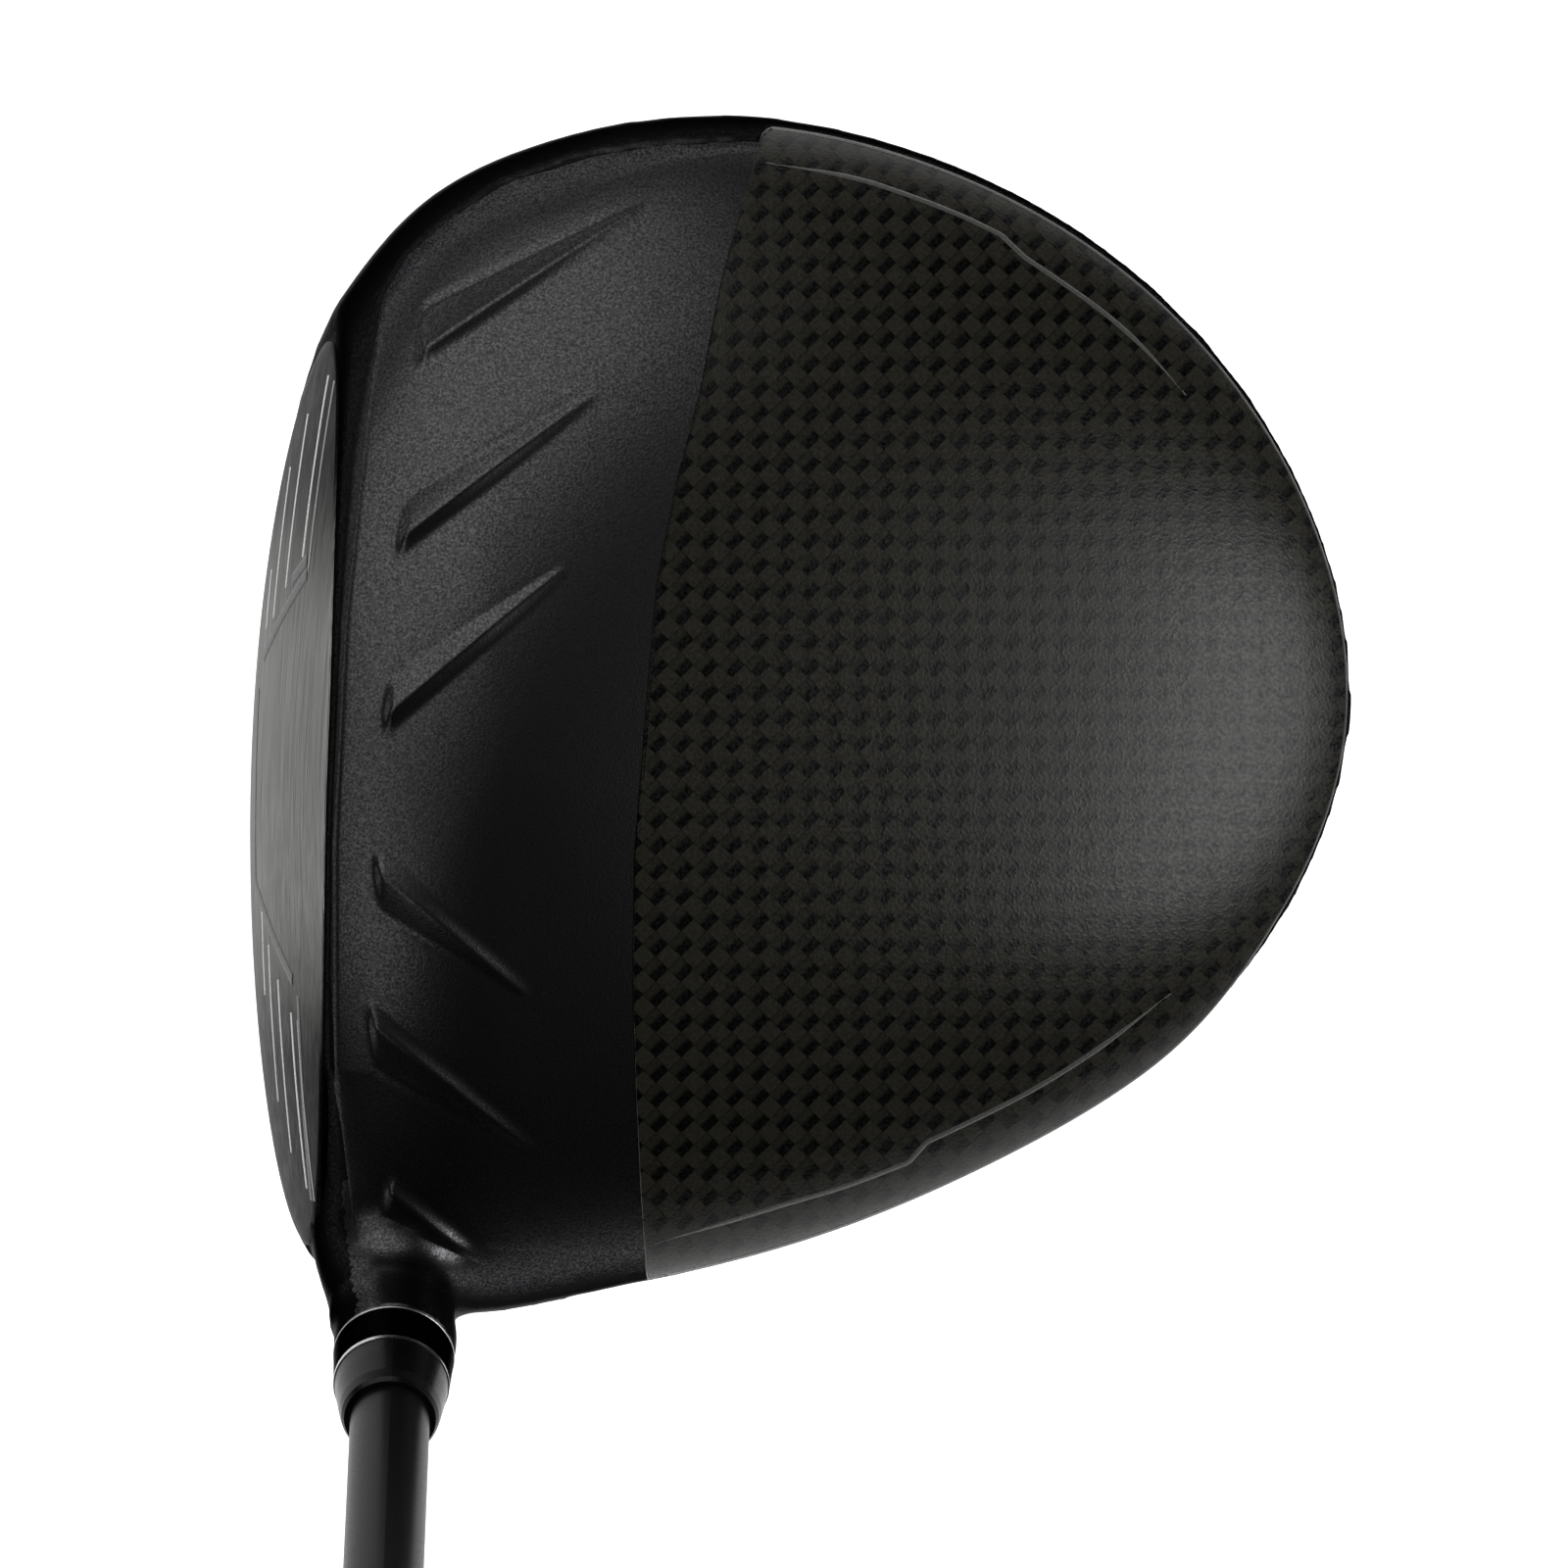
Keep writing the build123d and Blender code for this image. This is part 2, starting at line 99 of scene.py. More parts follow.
# %% The rim as a closed smooth curve
def closed_curve(points, steps):
    """Points on a closed cubic curve through the given ones, evenly spread between them."""
    ends = np.roll(points, -1, axis=0)
    gaps = np.linalg.norm(ends - points, axis=1)
    count = len(points)
    system = np.zeros((count, count))
    right = np.zeros((count, points.shape[1]))
    for i in range(count):
        before = gaps[i - 1]
        after = gaps[i]
        system[i, i - 1] += before
        system[i, i] += 2 * (before + after)
        system[i, (i + 1) % count] += after
        right[i] = 6 * ((ends[i] - points[i]) / after - (points[i] - points[i - 1]) / before)
    bend = np.linalg.solve(system, right)
    samples = []
    for i in range(count):
        for s in np.linspace(0, 1, steps, endpoint=False):
            a = 1 - s
            pull = (a**3 - a) * bend[i] + (s**3 - s) * bend[(i + 1) % count]
            samples.append(a * points[i] + s * ends[i] + gaps[i] ** 2 / 6 * pull)
    return np.array(samples)


RIM = closed_curve(RIM_PLAN, 20)
RIM_ANGLES = np.unwrap(np.arctan2(RIM[:, 1] - CROWN_CENTRE[1], RIM[:, 0] - CROWN_CENTRE[0]))
RIM_RADII = np.linalg.norm(RIM - CROWN_CENTRE, axis=1)
print("rim:", len(RIM), "points,", RIM.min(0).round(1), "to", RIM.max(0).round(1))


# %% Heights of the crown and of the sole
def rear_share(x):
    return (x - RIM_PLAN[:, 0].min()) / np.ptp(RIM_PLAN[:, 0])


def rim_height(x):
    return RIM_HEIGHT_FRONT + (RIM_HEIGHT_REAR - RIM_HEIGHT_FRONT) * rear_share(x)


def crown_height(share, rim_x):
    """Height of the crown at a share of the way from its centre to a rim point."""
    inner = 2.0 - 0.55 * rear_share(rim_x)
    outer = 2.0 - 0.7 * rear_share(rim_x)
    rise = np.clip(1 - share**inner, 0, 1) ** (1 / outer)
    return rim_height(rim_x) + (CROWN_TOP - rim_height(rim_x)) * rise


def sole_height(share, rim_x):
    inner = 4.0 - 2.5 * rear_share(rim_x)
    outer = 2.2 - 1.2 * rear_share(rim_x)
    pad = (1 - PAD_SHARE**inner) ** (1 / outer)
    return rim_height(rim_x) * (pad - np.clip(1 - share**inner, 0, 1) ** (1 / outer)) / pad


def crown_share(x, y):
    """Where a plan point lies between the crown's centre, 0, and the rim, 1."""
    angle = np.arctan2(y - CROWN_CENTRE[1], x - CROWN_CENTRE[0])
    angle = np.mod(angle - RIM_ANGLES[0], 2 * np.pi) + RIM_ANGLES[0]
    radius = np.interp(angle, RIM_ANGLES, RIM_RADII, period=2 * np.pi)
    rim_x = CROWN_CENTRE[0] + radius * np.cos(angle)
    return np.hypot(x - CROWN_CENTRE[0], y - CROWN_CENTRE[1]) / radius, rim_x


def crown_at(x, y):
    share, rim_x = crown_share(x, y)
    return crown_height(np.minimum(share, 1.0), rim_x)


print("crown over the face's top edge:", round(float(crown_at(-27.0, 2.0)), 1), "mm")

# %% [markdown]
# ## Helpers for meshes
# Every piece starts in a bmesh, in millimetres, and one function turns it into an object
# with its place in its mesh.  Round pieces are turned like on a lathe, by spinning a profile.


# %% From bmesh to object
def finish_piece(name, bm, smooth=True, scale=MM):
    """Makes an object from a bmesh in millimetres."""
    if scale != 1:
        bmesh.ops.scale(bm, vec=(scale, scale, scale), verts=bm.verts)
    mesh = bpy.data.meshes.new(name)
    bm.to_mesh(mesh)
    bm.free()
    mesh.polygons.foreach_set("use_smooth", [smooth] * len(mesh.polygons))
    piece = bpy.data.objects.new(name, mesh)
    bpy.context.scene.collection.objects.link(piece)
    return piece


print("a piece drawn in mm is scaled by", MM)


# %% Stacks of rings
def stack_rings(bm, rings, cap_first=True, cap_last=True):
    """Skins a stack of closed rings with the same number of points."""
    count = len(rings[0])
    row = bmesh.ops.create_circle(bm, segments=count, radius=1, cap_ends=cap_first)["verts"]
    for vert, place in zip(row, rings[0]):
        vert.co = place
    for ring in rings[1:]:
        edges = [bm.edges.get((row[i], row[i - 1])) for i in range(count)]
        grown = set(bmesh.ops.extrude_edge_only(bm, edges=edges)["geom"])
        row = [next(e.other_vert(vert) for e in vert.link_edges if e.other_vert(vert) in grown)
               for vert in row]
        for vert, place in zip(row, ring):
            vert.co = place
    if cap_last:
        bm.faces.new(row)
    bmesh.ops.recalc_face_normals(bm, faces=bm.faces)
    return row


print("a stack on the rim has", len(RIM), "points in each ring")


# %% Turned pieces and modifiers
def axis_frame(origin, up):
    """A matrix whose Z runs along up, for pieces turned about an axis."""
    turn = Vector((0, 0, 1)).rotation_difference(Vector(up))
    return Matrix.Translation(Vector(origin)) @ turn.to_matrix().to_4x4()


def lathe(profile, segments, matrix, bm=None):
    """Turns a closed profile of (radius, distance along the axis) about an axis."""
    bm = bm or bmesh.new()
    verts = [bm.verts.new((r, 0, z)) for r, z in profile]
    edges = [bm.edges.new((verts[i], verts[(i + 1) % len(verts)])) for i in range(len(verts))]
    old = set(bm.verts) - set(verts)
    bmesh.ops.spin(bm, geom=verts + edges, cent=(0, 0, 0), axis=(0, 0, 1), dvec=(0, 0, 0),
                   angle=2 * math.pi, steps=segments, use_merge=True, use_duplicate=False)
    new = [v for v in bm.verts if v not in old]
    bmesh.ops.remove_doubles(bm, verts=new, dist=1e-4)
    new = [v for v in bm.verts if v not in old]
    bmesh.ops.transform(bm, matrix=matrix, verts=new)
    bmesh.ops.recalc_face_normals(bm, faces=bm.faces)
    return bm


def apply_modifiers(piece):
    """Bakes a piece's modifiers into its mesh."""
    graph = bpy.context.evaluated_depsgraph_get()
    mesh = bpy.data.meshes.new_from_object(piece.evaluated_get(graph))
    piece.modifiers.clear()
    piece.data = mesh
    return piece


HOSEL = axis_frame(HOSEL_MOUTH, HOSEL_UP)
SHAFT = axis_frame(SHAFT_FOOT, SHAFT_UP)
print("hosel axis:", HOSEL_UP.round(3), "shaft axis:", SHAFT_UP.round(3))

# %% [markdown]
# ## Node helpers for finishes
# A finish is a small network of nodes.  One function adds a node with its settings and its
# links, and one turns a hex colour, as a paint maker gives it, into linear light.


# %% Colours and nodes
def linear(code):
    """sRGB hex to linear RGBA."""
    parts = [int(code[i:i + 2], 16) / 255 for i in (1, 3, 5)]
    return [c / 12.92 if c <= 0.04045 else ((c + 0.055) / 1.055) ** 2.4 for c in parts] + [1]


def add(tree, kind, inputs=(), stops=(), **settings):
    """Adds a node.

    Inputs go by name, or in their order, and each is a value or an output to link.  Stops are
    the (place, hex colour) pairs of a colour ramp, and settings are the node's own.
    """
    node = tree.nodes.new(kind)
    for name, value in settings.items():
        setattr(node, name, value)
    for name, value in (inputs.items() if isinstance(inputs, dict) else enumerate(inputs)):
        if isinstance(value, bpy.types.NodeSocket):
            tree.links.new(value, node.inputs[name])
        else:
            node.inputs[name].default_value = value
    for number, (place, code) in enumerate(stops):
        if number > 1:
            node.color_ramp.elements.new(place)
        node.color_ramp.elements[number].position = place
        node.color_ramp.elements[number].color = linear(code)
    return node


print("mid grey in linear light:", round(linear("#808080")[0], 3))


# %% A finish and its grain
def new_finish(name, **surface):
    """A material whose shader has the given numbers, and the object's own coordinates."""
    finish = bpy.data.materials.new(name)
    finish.use_nodes = True
    tree = finish.node_tree
    tree.nodes.clear()
    numbers = {key.replace("_", " "): value for key, value in surface.items()}
    shader = add(tree, "ShaderNodeBsdfPrincipled", numbers)
    add(tree, "ShaderNodeOutputMaterial", {"Surface": shader.outputs["BSDF"]})
    place = add(tree, "ShaderNodeTexCoord").outputs["Object"]
    return finish, tree, shader, place


def grain_on(tree, shader, colour, grain, rough, smooth, strength, depth):
    """Gives the shader its colour, and a gloss and a relief that follow the grain."""
    gloss = add(tree, "ShaderNodeMapRange", {
        "Value": grain, "From Min": 0.3, "From Max": 0.7, "To Min": rough, "To Max": smooth})
    relief = add(tree, "ShaderNodeBump", {
        "Height": grain, "Strength": strength, "Distance": depth})
    tree.links.new(colour, shader.inputs["Base Color"])
    tree.links.new(gloss.outputs["Result"], shader.inputs["Roughness"])
    tree.links.new(relief.outputs["Normal"], shader.inputs["Normal"])


def per_metre(size_mm):
    """Texture scale of a pattern whose features are size_mm apart."""
    return 1000.0 / size_mm


print("a 0.28 mm grain has scale", round(per_metre(0.28)))

# %% [markdown]
# ## Black PVD on cast titanium
# The casting is titanium with a black PVD coat over a fine blast.  The coat reflects like a
# dark metal, so it is a metal here, with a dark base colour, and its grains glint one by one.
# Its edges stay dark, which the specular tint gives.  A blast leaves a grain of about
# 0.05 mm, drawn at 0.28 mm so that it shows.


# %% Black PVD
def black_pvd(name, dark, middle, pale, roughness, relief_mm):
    finish, tree, shader, place = new_finish(
        name, Metallic=1.0, Specular_Tint=linear("#5a5a5a"))
    grain = add(tree, "ShaderNodeTexNoise", {
        "Vector": place, "Scale": per_metre(0.28), "Detail": 1.0,
        "Roughness": 0.6}).outputs["Fac"]
    colour = add(tree, "ShaderNodeValToRGB", {"Fac": grain},
                 stops=[(0.3, dark), (0.5, middle), (0.7, pale)]).outputs["Color"]
    grain_on(tree, shader, colour, grain, roughness * 1.15, roughness * 0.85, 0.4,
             relief_mm * MM)
    return finish


print("black PVD ready")

# %% [markdown]
# ## Brushed titanium
# The face is forged titanium, brushed from heel to toe.  Brushing leaves fine grooves along
# one direction, so the noise is squeezed across them and drawn long along them.  The grooves
# are 0.05 mm apart and drawn at 0.3 mm.  The colour is paler in the middle and darker
# towards both ends.


# %% Brushed face
def brushed_titanium():
    finish, tree, shader, place = new_finish(
        "forged_titanium_brushed", Metallic=1.0, Specular_Tint=linear("#a6a6a6"))
    squeeze = add(tree, "ShaderNodeMapping", {
        "Vector": place, "Scale": (per_metre(0.3), per_metre(14.0), per_metre(0.3))})
    streak = add(tree, "ShaderNodeTexNoise", {
        "Vector": squeeze.outputs["Vector"], "Scale": 1.0, "Detail": 3.0,
        "Roughness": 0.6}).outputs["Fac"]
    bare = add(tree, "ShaderNodeValToRGB", {"Fac": streak},
               stops=[(0.3, "#676765"), (0.5, "#80807e"), (0.72, "#9a9a98")])
    dark = add(tree, "ShaderNodeValToRGB", {"Fac": streak},
               stops=[(0.3, "#0b0b0b"), (0.5, "#131313"), (0.72, "#222222")])
    # the pale middle is centred 6 mm towards the heel, and the colour darkens from 12 to 34 mm
    # off it
    heel_to_toe = add(tree, "ShaderNodeSeparateXYZ", {"Vector": place}).outputs["Y"]
    off = add(tree, "ShaderNodeMath", (heel_to_toe, 0.006), operation="ADD").outputs[0]
    off = add(tree, "ShaderNodeMath", (off,), operation="ABSOLUTE").outputs[0]
    toward_ends = add(tree, "ShaderNodeMapRange", {
        "Value": off, "From Min": 0.012, "From Max": 0.034}, interpolation_type="SMOOTHSTEP")
    colour = add(tree, "ShaderNodeMix", {"Factor": toward_ends.outputs["Result"]}, data_type="RGBA")
    tree.links.new(bare.outputs["Color"], colour.inputs["A"])
    tree.links.new(dark.outputs["Color"], colour.inputs["B"])
    grain_on(tree, shader, colour.outputs["Result"], streak, 0.42, 0.26, 0.3, 0.00005)
    return finish


print("brushed titanium ready")

# %% [markdown]
# ## Carbon cloth under satin lacquer
# The crown is carbon cloth laid at 45 degrees.  Two sets of flat tows, each about 2 mm wide,
# cross over and under.  How they catch the light seen from above is painted into the colour:
# one set is painted light all over, and the other has a painted highlight where it rises and
# painted shade, black, where it dives under its neighbour.  The lacquer over it is
# satin: its mist, 0.05 mm on the real one and drawn at 0.4 mm, breaks the highlight up into
# grains.


# %% Carbon cloth
TOW_MM = 1.91
CLOTH_TURN = math.radians(45 - 3.3)


def carbon_cloth():
    finish, tree, shader, place = new_finish(
        "carbon_cloth_satin_lacquer", IOR=1.5, Specular_IOR_Level=0.22)
    turn = add(tree, "ShaderNodeMapping", {
        "Vector": place, "Rotation": (0, 0, CLOTH_TURN),
        "Scale": (per_metre(TOW_MM), per_metre(TOW_MM), 0.0)})
    parts = add(tree, "ShaderNodeSeparateXYZ", {"Vector": turn.outputs["Vector"]})
    floors = []
    across = []
    seams = []
    for axis in "XY":
        count = parts.outputs[axis]
        floors.append(add(tree, "ShaderNodeMath", (count,), operation="FLOOR").outputs[0])
        part = add(tree, "ShaderNodeMath", (count,), operation="FRACT").outputs[0]
        across.append(part)
        off = add(tree, "ShaderNodeMath", (part, 0.5), operation="SUBTRACT").outputs[0]
        off = add(tree, "ShaderNodeMath", (off,), operation="ABSOLUTE").outputs[0]
        seams.append(add(tree, "ShaderNodeMath", (off, 0.47), operation="LESS_THAN").outputs[0])
    # every other square is a tow that dives: painted highlight at its start and painted shade,
    # black, at its end
    whole = add(tree, "ShaderNodeMath", floors, operation="ADD").outputs[0]
    odd = add(tree, "ShaderNodeMath", (whole, 1.0), operation="PINGPONG").outputs[0]
    painted_dive_shade = add(tree, "ShaderNodeMapRange", {
        "Value": across[0], "From Min": 0.35, "From Max": 0.62, "To Min": 0.75, "To Max": 0.0},
        interpolation_type="SMOOTHSTEP")
    painted_tow_light = add(tree, "ShaderNodeMix", {
        "Factor": odd, "A": 1.0, "B": painted_dive_shade.outputs["Result"]}, data_type="FLOAT")
    # a thin dark seam runs between neighbouring tows
    seam = add(tree, "ShaderNodeMath", seams, operation="MULTIPLY").outputs[0]
    seam = add(tree, "ShaderNodeMath", (seam, 0.55), operation="MULTIPLY").outputs[0]
    seam = add(tree, "ShaderNodeMath", (seam, 0.45), operation="ADD").outputs[0]
    light = add(tree, "ShaderNodeMath", (painted_tow_light.outputs["Result"], seam), operation="MULTIPLY")
    # the tows' painted light and shade, from black to a dim warm grey
    weave = add(tree, "ShaderNodeValToRGB", {"Fac": light.outputs[0]},
                stops=[(0.0, "#000000"), (1.0, "#22211b")])
    fibre = add(tree, "ShaderNodeTexNoise", {
        "Vector": place, "Scale": per_metre(0.35), "Detail": 3.0})
    speck = add(tree, "ShaderNodeValToRGB", {"Fac": fibre.outputs["Fac"]},
                stops=[(0.3, "#d4d4d4"), (0.7, "#ffffff")])
    colour = add(tree, "ShaderNodeMix", {"Factor": 1.0}, data_type="RGBA",
                 blend_type="MULTIPLY")
    tree.links.new(weave.outputs["Color"], colour.inputs["A"])
    tree.links.new(speck.outputs["Color"], colour.inputs["B"])
    mist = add(tree, "ShaderNodeTexNoise", {
        "Vector": place, "Scale": per_metre(0.4), "Detail": 1.0,
        "Roughness": 0.6}).outputs["Fac"]
    grain_on(tree, shader, colour.outputs["Result"], mist, 0.38, 0.22, 0.45, 0.00006)
    return finish


print("tows", TOW_MM, "mm wide, laid at 45 degrees to the face")

# %% [markdown]
# ## Finishes of the small parts
# The small parts are plastics, rubbers, steels and paints.  Each has the same build, a fine
# grain in its colour, its gloss and its surface, and differs in its numbers: a lacquer is
# smooth, rubber is rough, and sintered tungsten lies between them.


# %% Grained finish
def grained(name, dark, pale, grain_mm, roughness, metallic=0.0, bump=0.2, gloss=0.5):
    finish, tree, shader, place = new_finish(
        name, Metallic=metallic, Specular_IOR_Level=gloss)
    grain = add(tree, "ShaderNodeTexNoise", {
        "Vector": place, "Scale": per_metre(grain_mm), "Detail": 3.0,
        "Roughness": 0.6}).outputs["Fac"]
    colour = add(tree, "ShaderNodeValToRGB", {"Fac": grain},
                 stops=[(0.3, dark), (0.7, pale)]).outputs["Color"]
    grain_on(tree, shader, colour, grain, roughness * 1.15, roughness * 0.85, bump,
             grain_mm * 0.0002)
    return finish


print("grained finish ready")

# %% [markdown]
# ## All the finishes
# One table holds them, named by the slots of the record, so that each CAD node finds its own.
# Grains under 0.2 mm on the real part are drawn at 0.2 to 0.4 mm here, so that they show.

# %% Table of finishes
FINISHES = {
    # smooth PVD: a soft black sheen along the skirt and the neck
    "cast_titanium": black_pvd(
        "cast_titanium_smooth_black_pvd", "#181818", "#202020", "#28282a", 0.34, 0.03),
    # blasted PVD: dark grey with glinting grains, which turns black away from the light
    "blasted_titanium": black_pvd(
        "cast_titanium_blasted_black_pvd", "#2a2a2b", "#3a3a3b", "#4a4a4b", 0.33, 0.05),
    "brushed_titanium": brushed_titanium(),
    "carbon_weave": carbon_cloth(),
    # cured epoxy: a dull black bead
    "bond_film": grained("cured_epoxy_black", "#141414", "#1c1c1c", 1.0, 0.5),
    # anodised and bead blasted: an even black, a little glossier than rubber
    "anodised_black": black_pvd(
        "anodised_aluminium_black", "#0c0c0c", "#121212", "#181818", 0.36, 0.02),
    # turned aluminium left bare; on the sleeve's edge it is a painted highlight, a thin bright
    # line where two black parts meet
    "bright_aluminium": grained("turned_aluminium", "#8c8c8c", "#b4b4b4", 0.3, 0.3, 1.0),
    # moulded nitrile: matt black
    "seal_rubber": grained("nitrile_rubber", "#0c0c0c", "#141414", 0.3, 0.6),
    # machined stainless: a grey shine in the depth of a bore
    "steel_insert": grained("machined_stainless_steel", "#8a8a88", "#a8a8a6", 0.4, 0.3, 1.0),
    # oiled black oxide: a black with a slight metal shine
    "black_steel": grained("oiled_black_oxide_steel", "#1a1a1b", "#262627", 0.3, 0.36, 0.6),
    # sintered tungsten: a dark satin grey that tells the weight from the sole
    "tungsten": grained("sintered_tungsten_satin", "#3a3a3c", "#505052", 0.35, 0.42, 1.0),
    # polished plastic: the darkest black, with a tight highlight
    "ferrule_black": grained(
        "polished_ferrule_plastic", "#040404", "#070707", 0.6, 0.28, bump=0.05, gloss=0.15),
    # lacquered graphite: black with a soft stripe of light along the tube
    "shaft_coat": grained(
        "satin_lacquer_on_graphite", "#080808", "#0e0e0e", 0.3, 0.36, bump=0.1, gloss=0.12),
    # light plastic and paper, both hidden inside the shaft and the grip
    "plug_foam": grained("shaft_plug_plastic", "#8c8c86", "#a0a098", 0.5, 0.6),
    "tape": grained("grip_tape_paper", "#b9b4a2", "#cfcab8", 0.4, 0.8),
    # moulded grip rubber: a dry, slightly mottled black
    "grip_rubber": grained("moulded_grip_rubber", "#0e0e0e", "#1a1a1a", 0.4, 0.62, bump=0.4),
    # printed inlay: a dull silver grey that is darker than the bare metal
    "inlay_silver": grained("silver_grey_inlay", "#424240", "#62625f", 0.25, 0.4, 0.6),
    # score line paint: off-white
    "line_paint": grained("white_score_line_paint", "#a6a6a4", "#d2d2d0", 0.3, 0.4),
    # laser etching: a burnt dark line in the brushed metal
    "etched_dark": grained("laser_etched_dark_line", "#1d1d1d", "#2a2a2a", 0.2, 0.5, 0.7),
}
for row in frame["record"]["subparts"]:
    node = frame["nodes"][row["node"]]
    node.data.materials.clear()
    node.data.materials.append(FINISHES[row["material_slot"]])


# %% Dressing a piece
def dress(piece, body, finish, nodes=()):
    """Gives a piece its finish, its body and the CAD nodes it stands for."""
    piece.data.materials.clear()
    piece.data.materials.append(FINISHES[finish])
    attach(piece, body)
    if nodes:
        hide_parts(*nodes)
    return piece


# %% [markdown]
# ## The casting
# The real casting is poured in one piece, so the neck flows out of the heel with no seam.
# The dome is skinned ring by ring, its front is pressed onto the ball that shapes the face,
# the flared neck is set into it, and a voxel remesh melts the two into one skin.  Smoothing
# then rounds the edges as the blasting of the real one does.  Modelling the fillet by hand
# would take many patches, and melting gives it in one step.

# %% Rings of the dome
SEGMENTS = len(RIM)
SOLE_SHARES = np.concatenate([np.linspace(PAD_SHARE, 0.9, 30), np.linspace(0.915, 0.995, 12)])
CROWN_SHARES = np.concatenate([np.linspace(1.0, 0.93, 12), np.linspace(0.915, 0.02, 48)])
WRAP_FRONT = [
    (10.5, -60.3), (9.2, -49.2), (8.2, -39.1), (7.2, -27.1), (6.6, -13.1), (7.0, 4.9),
    (7.3, 16.1), (8.8, 27.1), (10.6, 36.3), (12.2, 48.8), (15.7, 65.3),
]


def wrap_front(y):
    """X of the front edge of the carbon at a given Y."""
    points = np.array(WRAP_FRONT)
    return np.interp(y, points[:, 1], points[:, 0])


def dome_rings():
    """Rings from the sole's pad out to the rim, and from there up to the crown's top."""
    rings = []
    for share in SOLE_SHARES:
        plan = SOLE_CENTRE + share * (RIM - SOLE_CENTRE)
        rings.append(np.column_stack([plan, sole_height(share, RIM[:, 0])]))
    for share in CROWN_SHARES:
        plan = CROWN_CENTRE + share * (RIM - CROWN_CENTRE)
        rings.append(np.column_stack([plan, crown_height(share, RIM[:, 0])]))
    return rings


def press_on_face(points):
    """Moves what lies ahead of the face back onto it."""
    away = points - FACE_CENTRE
    reach = np.linalg.norm(away, axis=1, keepdims=True)
    return FACE_CENTRE + away * np.minimum(1, FACE_RADIUS / reach)


print(len(SOLE_SHARES) + len(CROWN_SHARES), "rings of", SEGMENTS, "points")

# %% Rings of the neck
# growth of the neck's radius at each depth under the mouth, in mm
NECK_GROWTH = [(-8, 0), (0, 0), (6, 0.25), (12, 1.5), (18, 3.9), (24, 7.5), (30, 11.3)]
# drift of the neck's middle away from the face at each depth, in mm
NECK_DRIFT = [(-8, 0), (0, -0.1), (6, -0.6), (12, -0.7), (16, -0.4), (18, 0.2), (24, 3.4),
              (30, 8.5)]


def neck_rings(count=96):
    """Rings down the hosel's axis, from above its mouth to inside the dome."""
    rings = []
    for depth in np.linspace(-8, 29, 60):
        grow = np.interp(depth, *np.array(NECK_GROWTH, float).T)
        drift = np.interp(depth, *np.array(NECK_DRIFT, float).T)
        radius = HOSEL_RADIUS + grow
        ring = []
        for turn in np.linspace(0, 2 * math.pi, count, endpoint=False):
            spot = Vector((drift + radius * math.cos(turn),
                           0.6 * grow + radius * math.sin(turn), -depth))
            ring.append(tuple(HOSEL @ spot))
        rings.append(np.array(ring))
    return rings


print("neck:", HOSEL_RADIUS, "mm in radius at its mouth")

# %% Skin the dome and the neck
bm = bmesh.new()
stack_rings(bm, [press_on_face(ring) for ring in dome_rings()])
neck = bmesh.new()
stack_rings(neck, neck_rings())
neck_mesh = bpy.data.meshes.new("neck")
neck.to_mesh(neck_mesh)
neck.free()
bm.from_mesh(neck_mesh)
casting = finish_piece("casting", bm)
print("dome and neck:", len(casting.data.polygons), "faces")

# %% Melt them into one skin
VOXEL = 0.8
remesh = casting.modifiers.new("melt", "REMESH")
remesh.mode = "VOXEL"
remesh.voxel_size = VOXEL * MM
apply_modifiers(casting)
print("remeshed:", len(casting.data.polygons), "faces")

# %% [markdown]
# The skin is now smoothed: a little all over, and much more round the neck, where the real
# casting has a wide fillet.  The top of the neck is turned true on a lathe in the real club,
# so its points are put back on their exact radius, and it is cut off flat at the mouth.


# %% Helpers for moving points
def smoothstep(low, high, value):
    t = np.clip((value - low) / (high - low), 0, 1)
    return t * t * (3 - 2 * t)


def places(bm):
    return np.array([v.co for v in bm.verts])


def put(bm, points):
    for vert, place in zip(bm.verts, points):
        vert.co = place


def on_axis(points, origin, up):
    """Distance of points along an axis, and their distance from it."""
    away = points - np.array(origin)
    along = away @ np.array(up)
    return along, np.linalg.norm(away - along[:, None] * np.array(up), axis=1)


def relax(bm, verts, rounds):
    """Moves points halfway to the middle of their neighbours, round after round."""
    for _ in range(rounds):
        bmesh.ops.smooth_vert(bm, verts=verts, factor=0.5, use_axis_x=True, use_axis_y=True,
                              use_axis_z=True)


print("half way up a smooth step:", float(smoothstep(0, 1, 0.5)))

# %% Smooth the skin
bm = bmesh.new()
bm.from_mesh(casting.data)
bmesh.ops.scale(bm, vec=(1 / MM,) * 3, verts=bm.verts)
relax(bm, bm.verts, 10)
along, out = on_axis(places(bm), HOSEL_MOUTH, HOSEL_UP)
fillet = [v for v, a, r in zip(bm.verts, along, out) if -34 < a < -7 and r < 27 and v.co.z > 30]
relax(bm, fillet, 60)
skin = places(bm)
share, rim_x = crown_share(skin[:, 0], skin[:, 1])
at_rim = (share > 0.93) & (skin[:, 0] > 2) & (np.abs(skin[:, 2] - rim_height(rim_x)) < 6)
rear_rim = [v for v, near in zip(bm.verts, at_rim) if near]
relax(bm, rear_rim, 14)
print(len(fillet), "points of the fillet and", len(rear_rim), "of the rear rim smoothed")

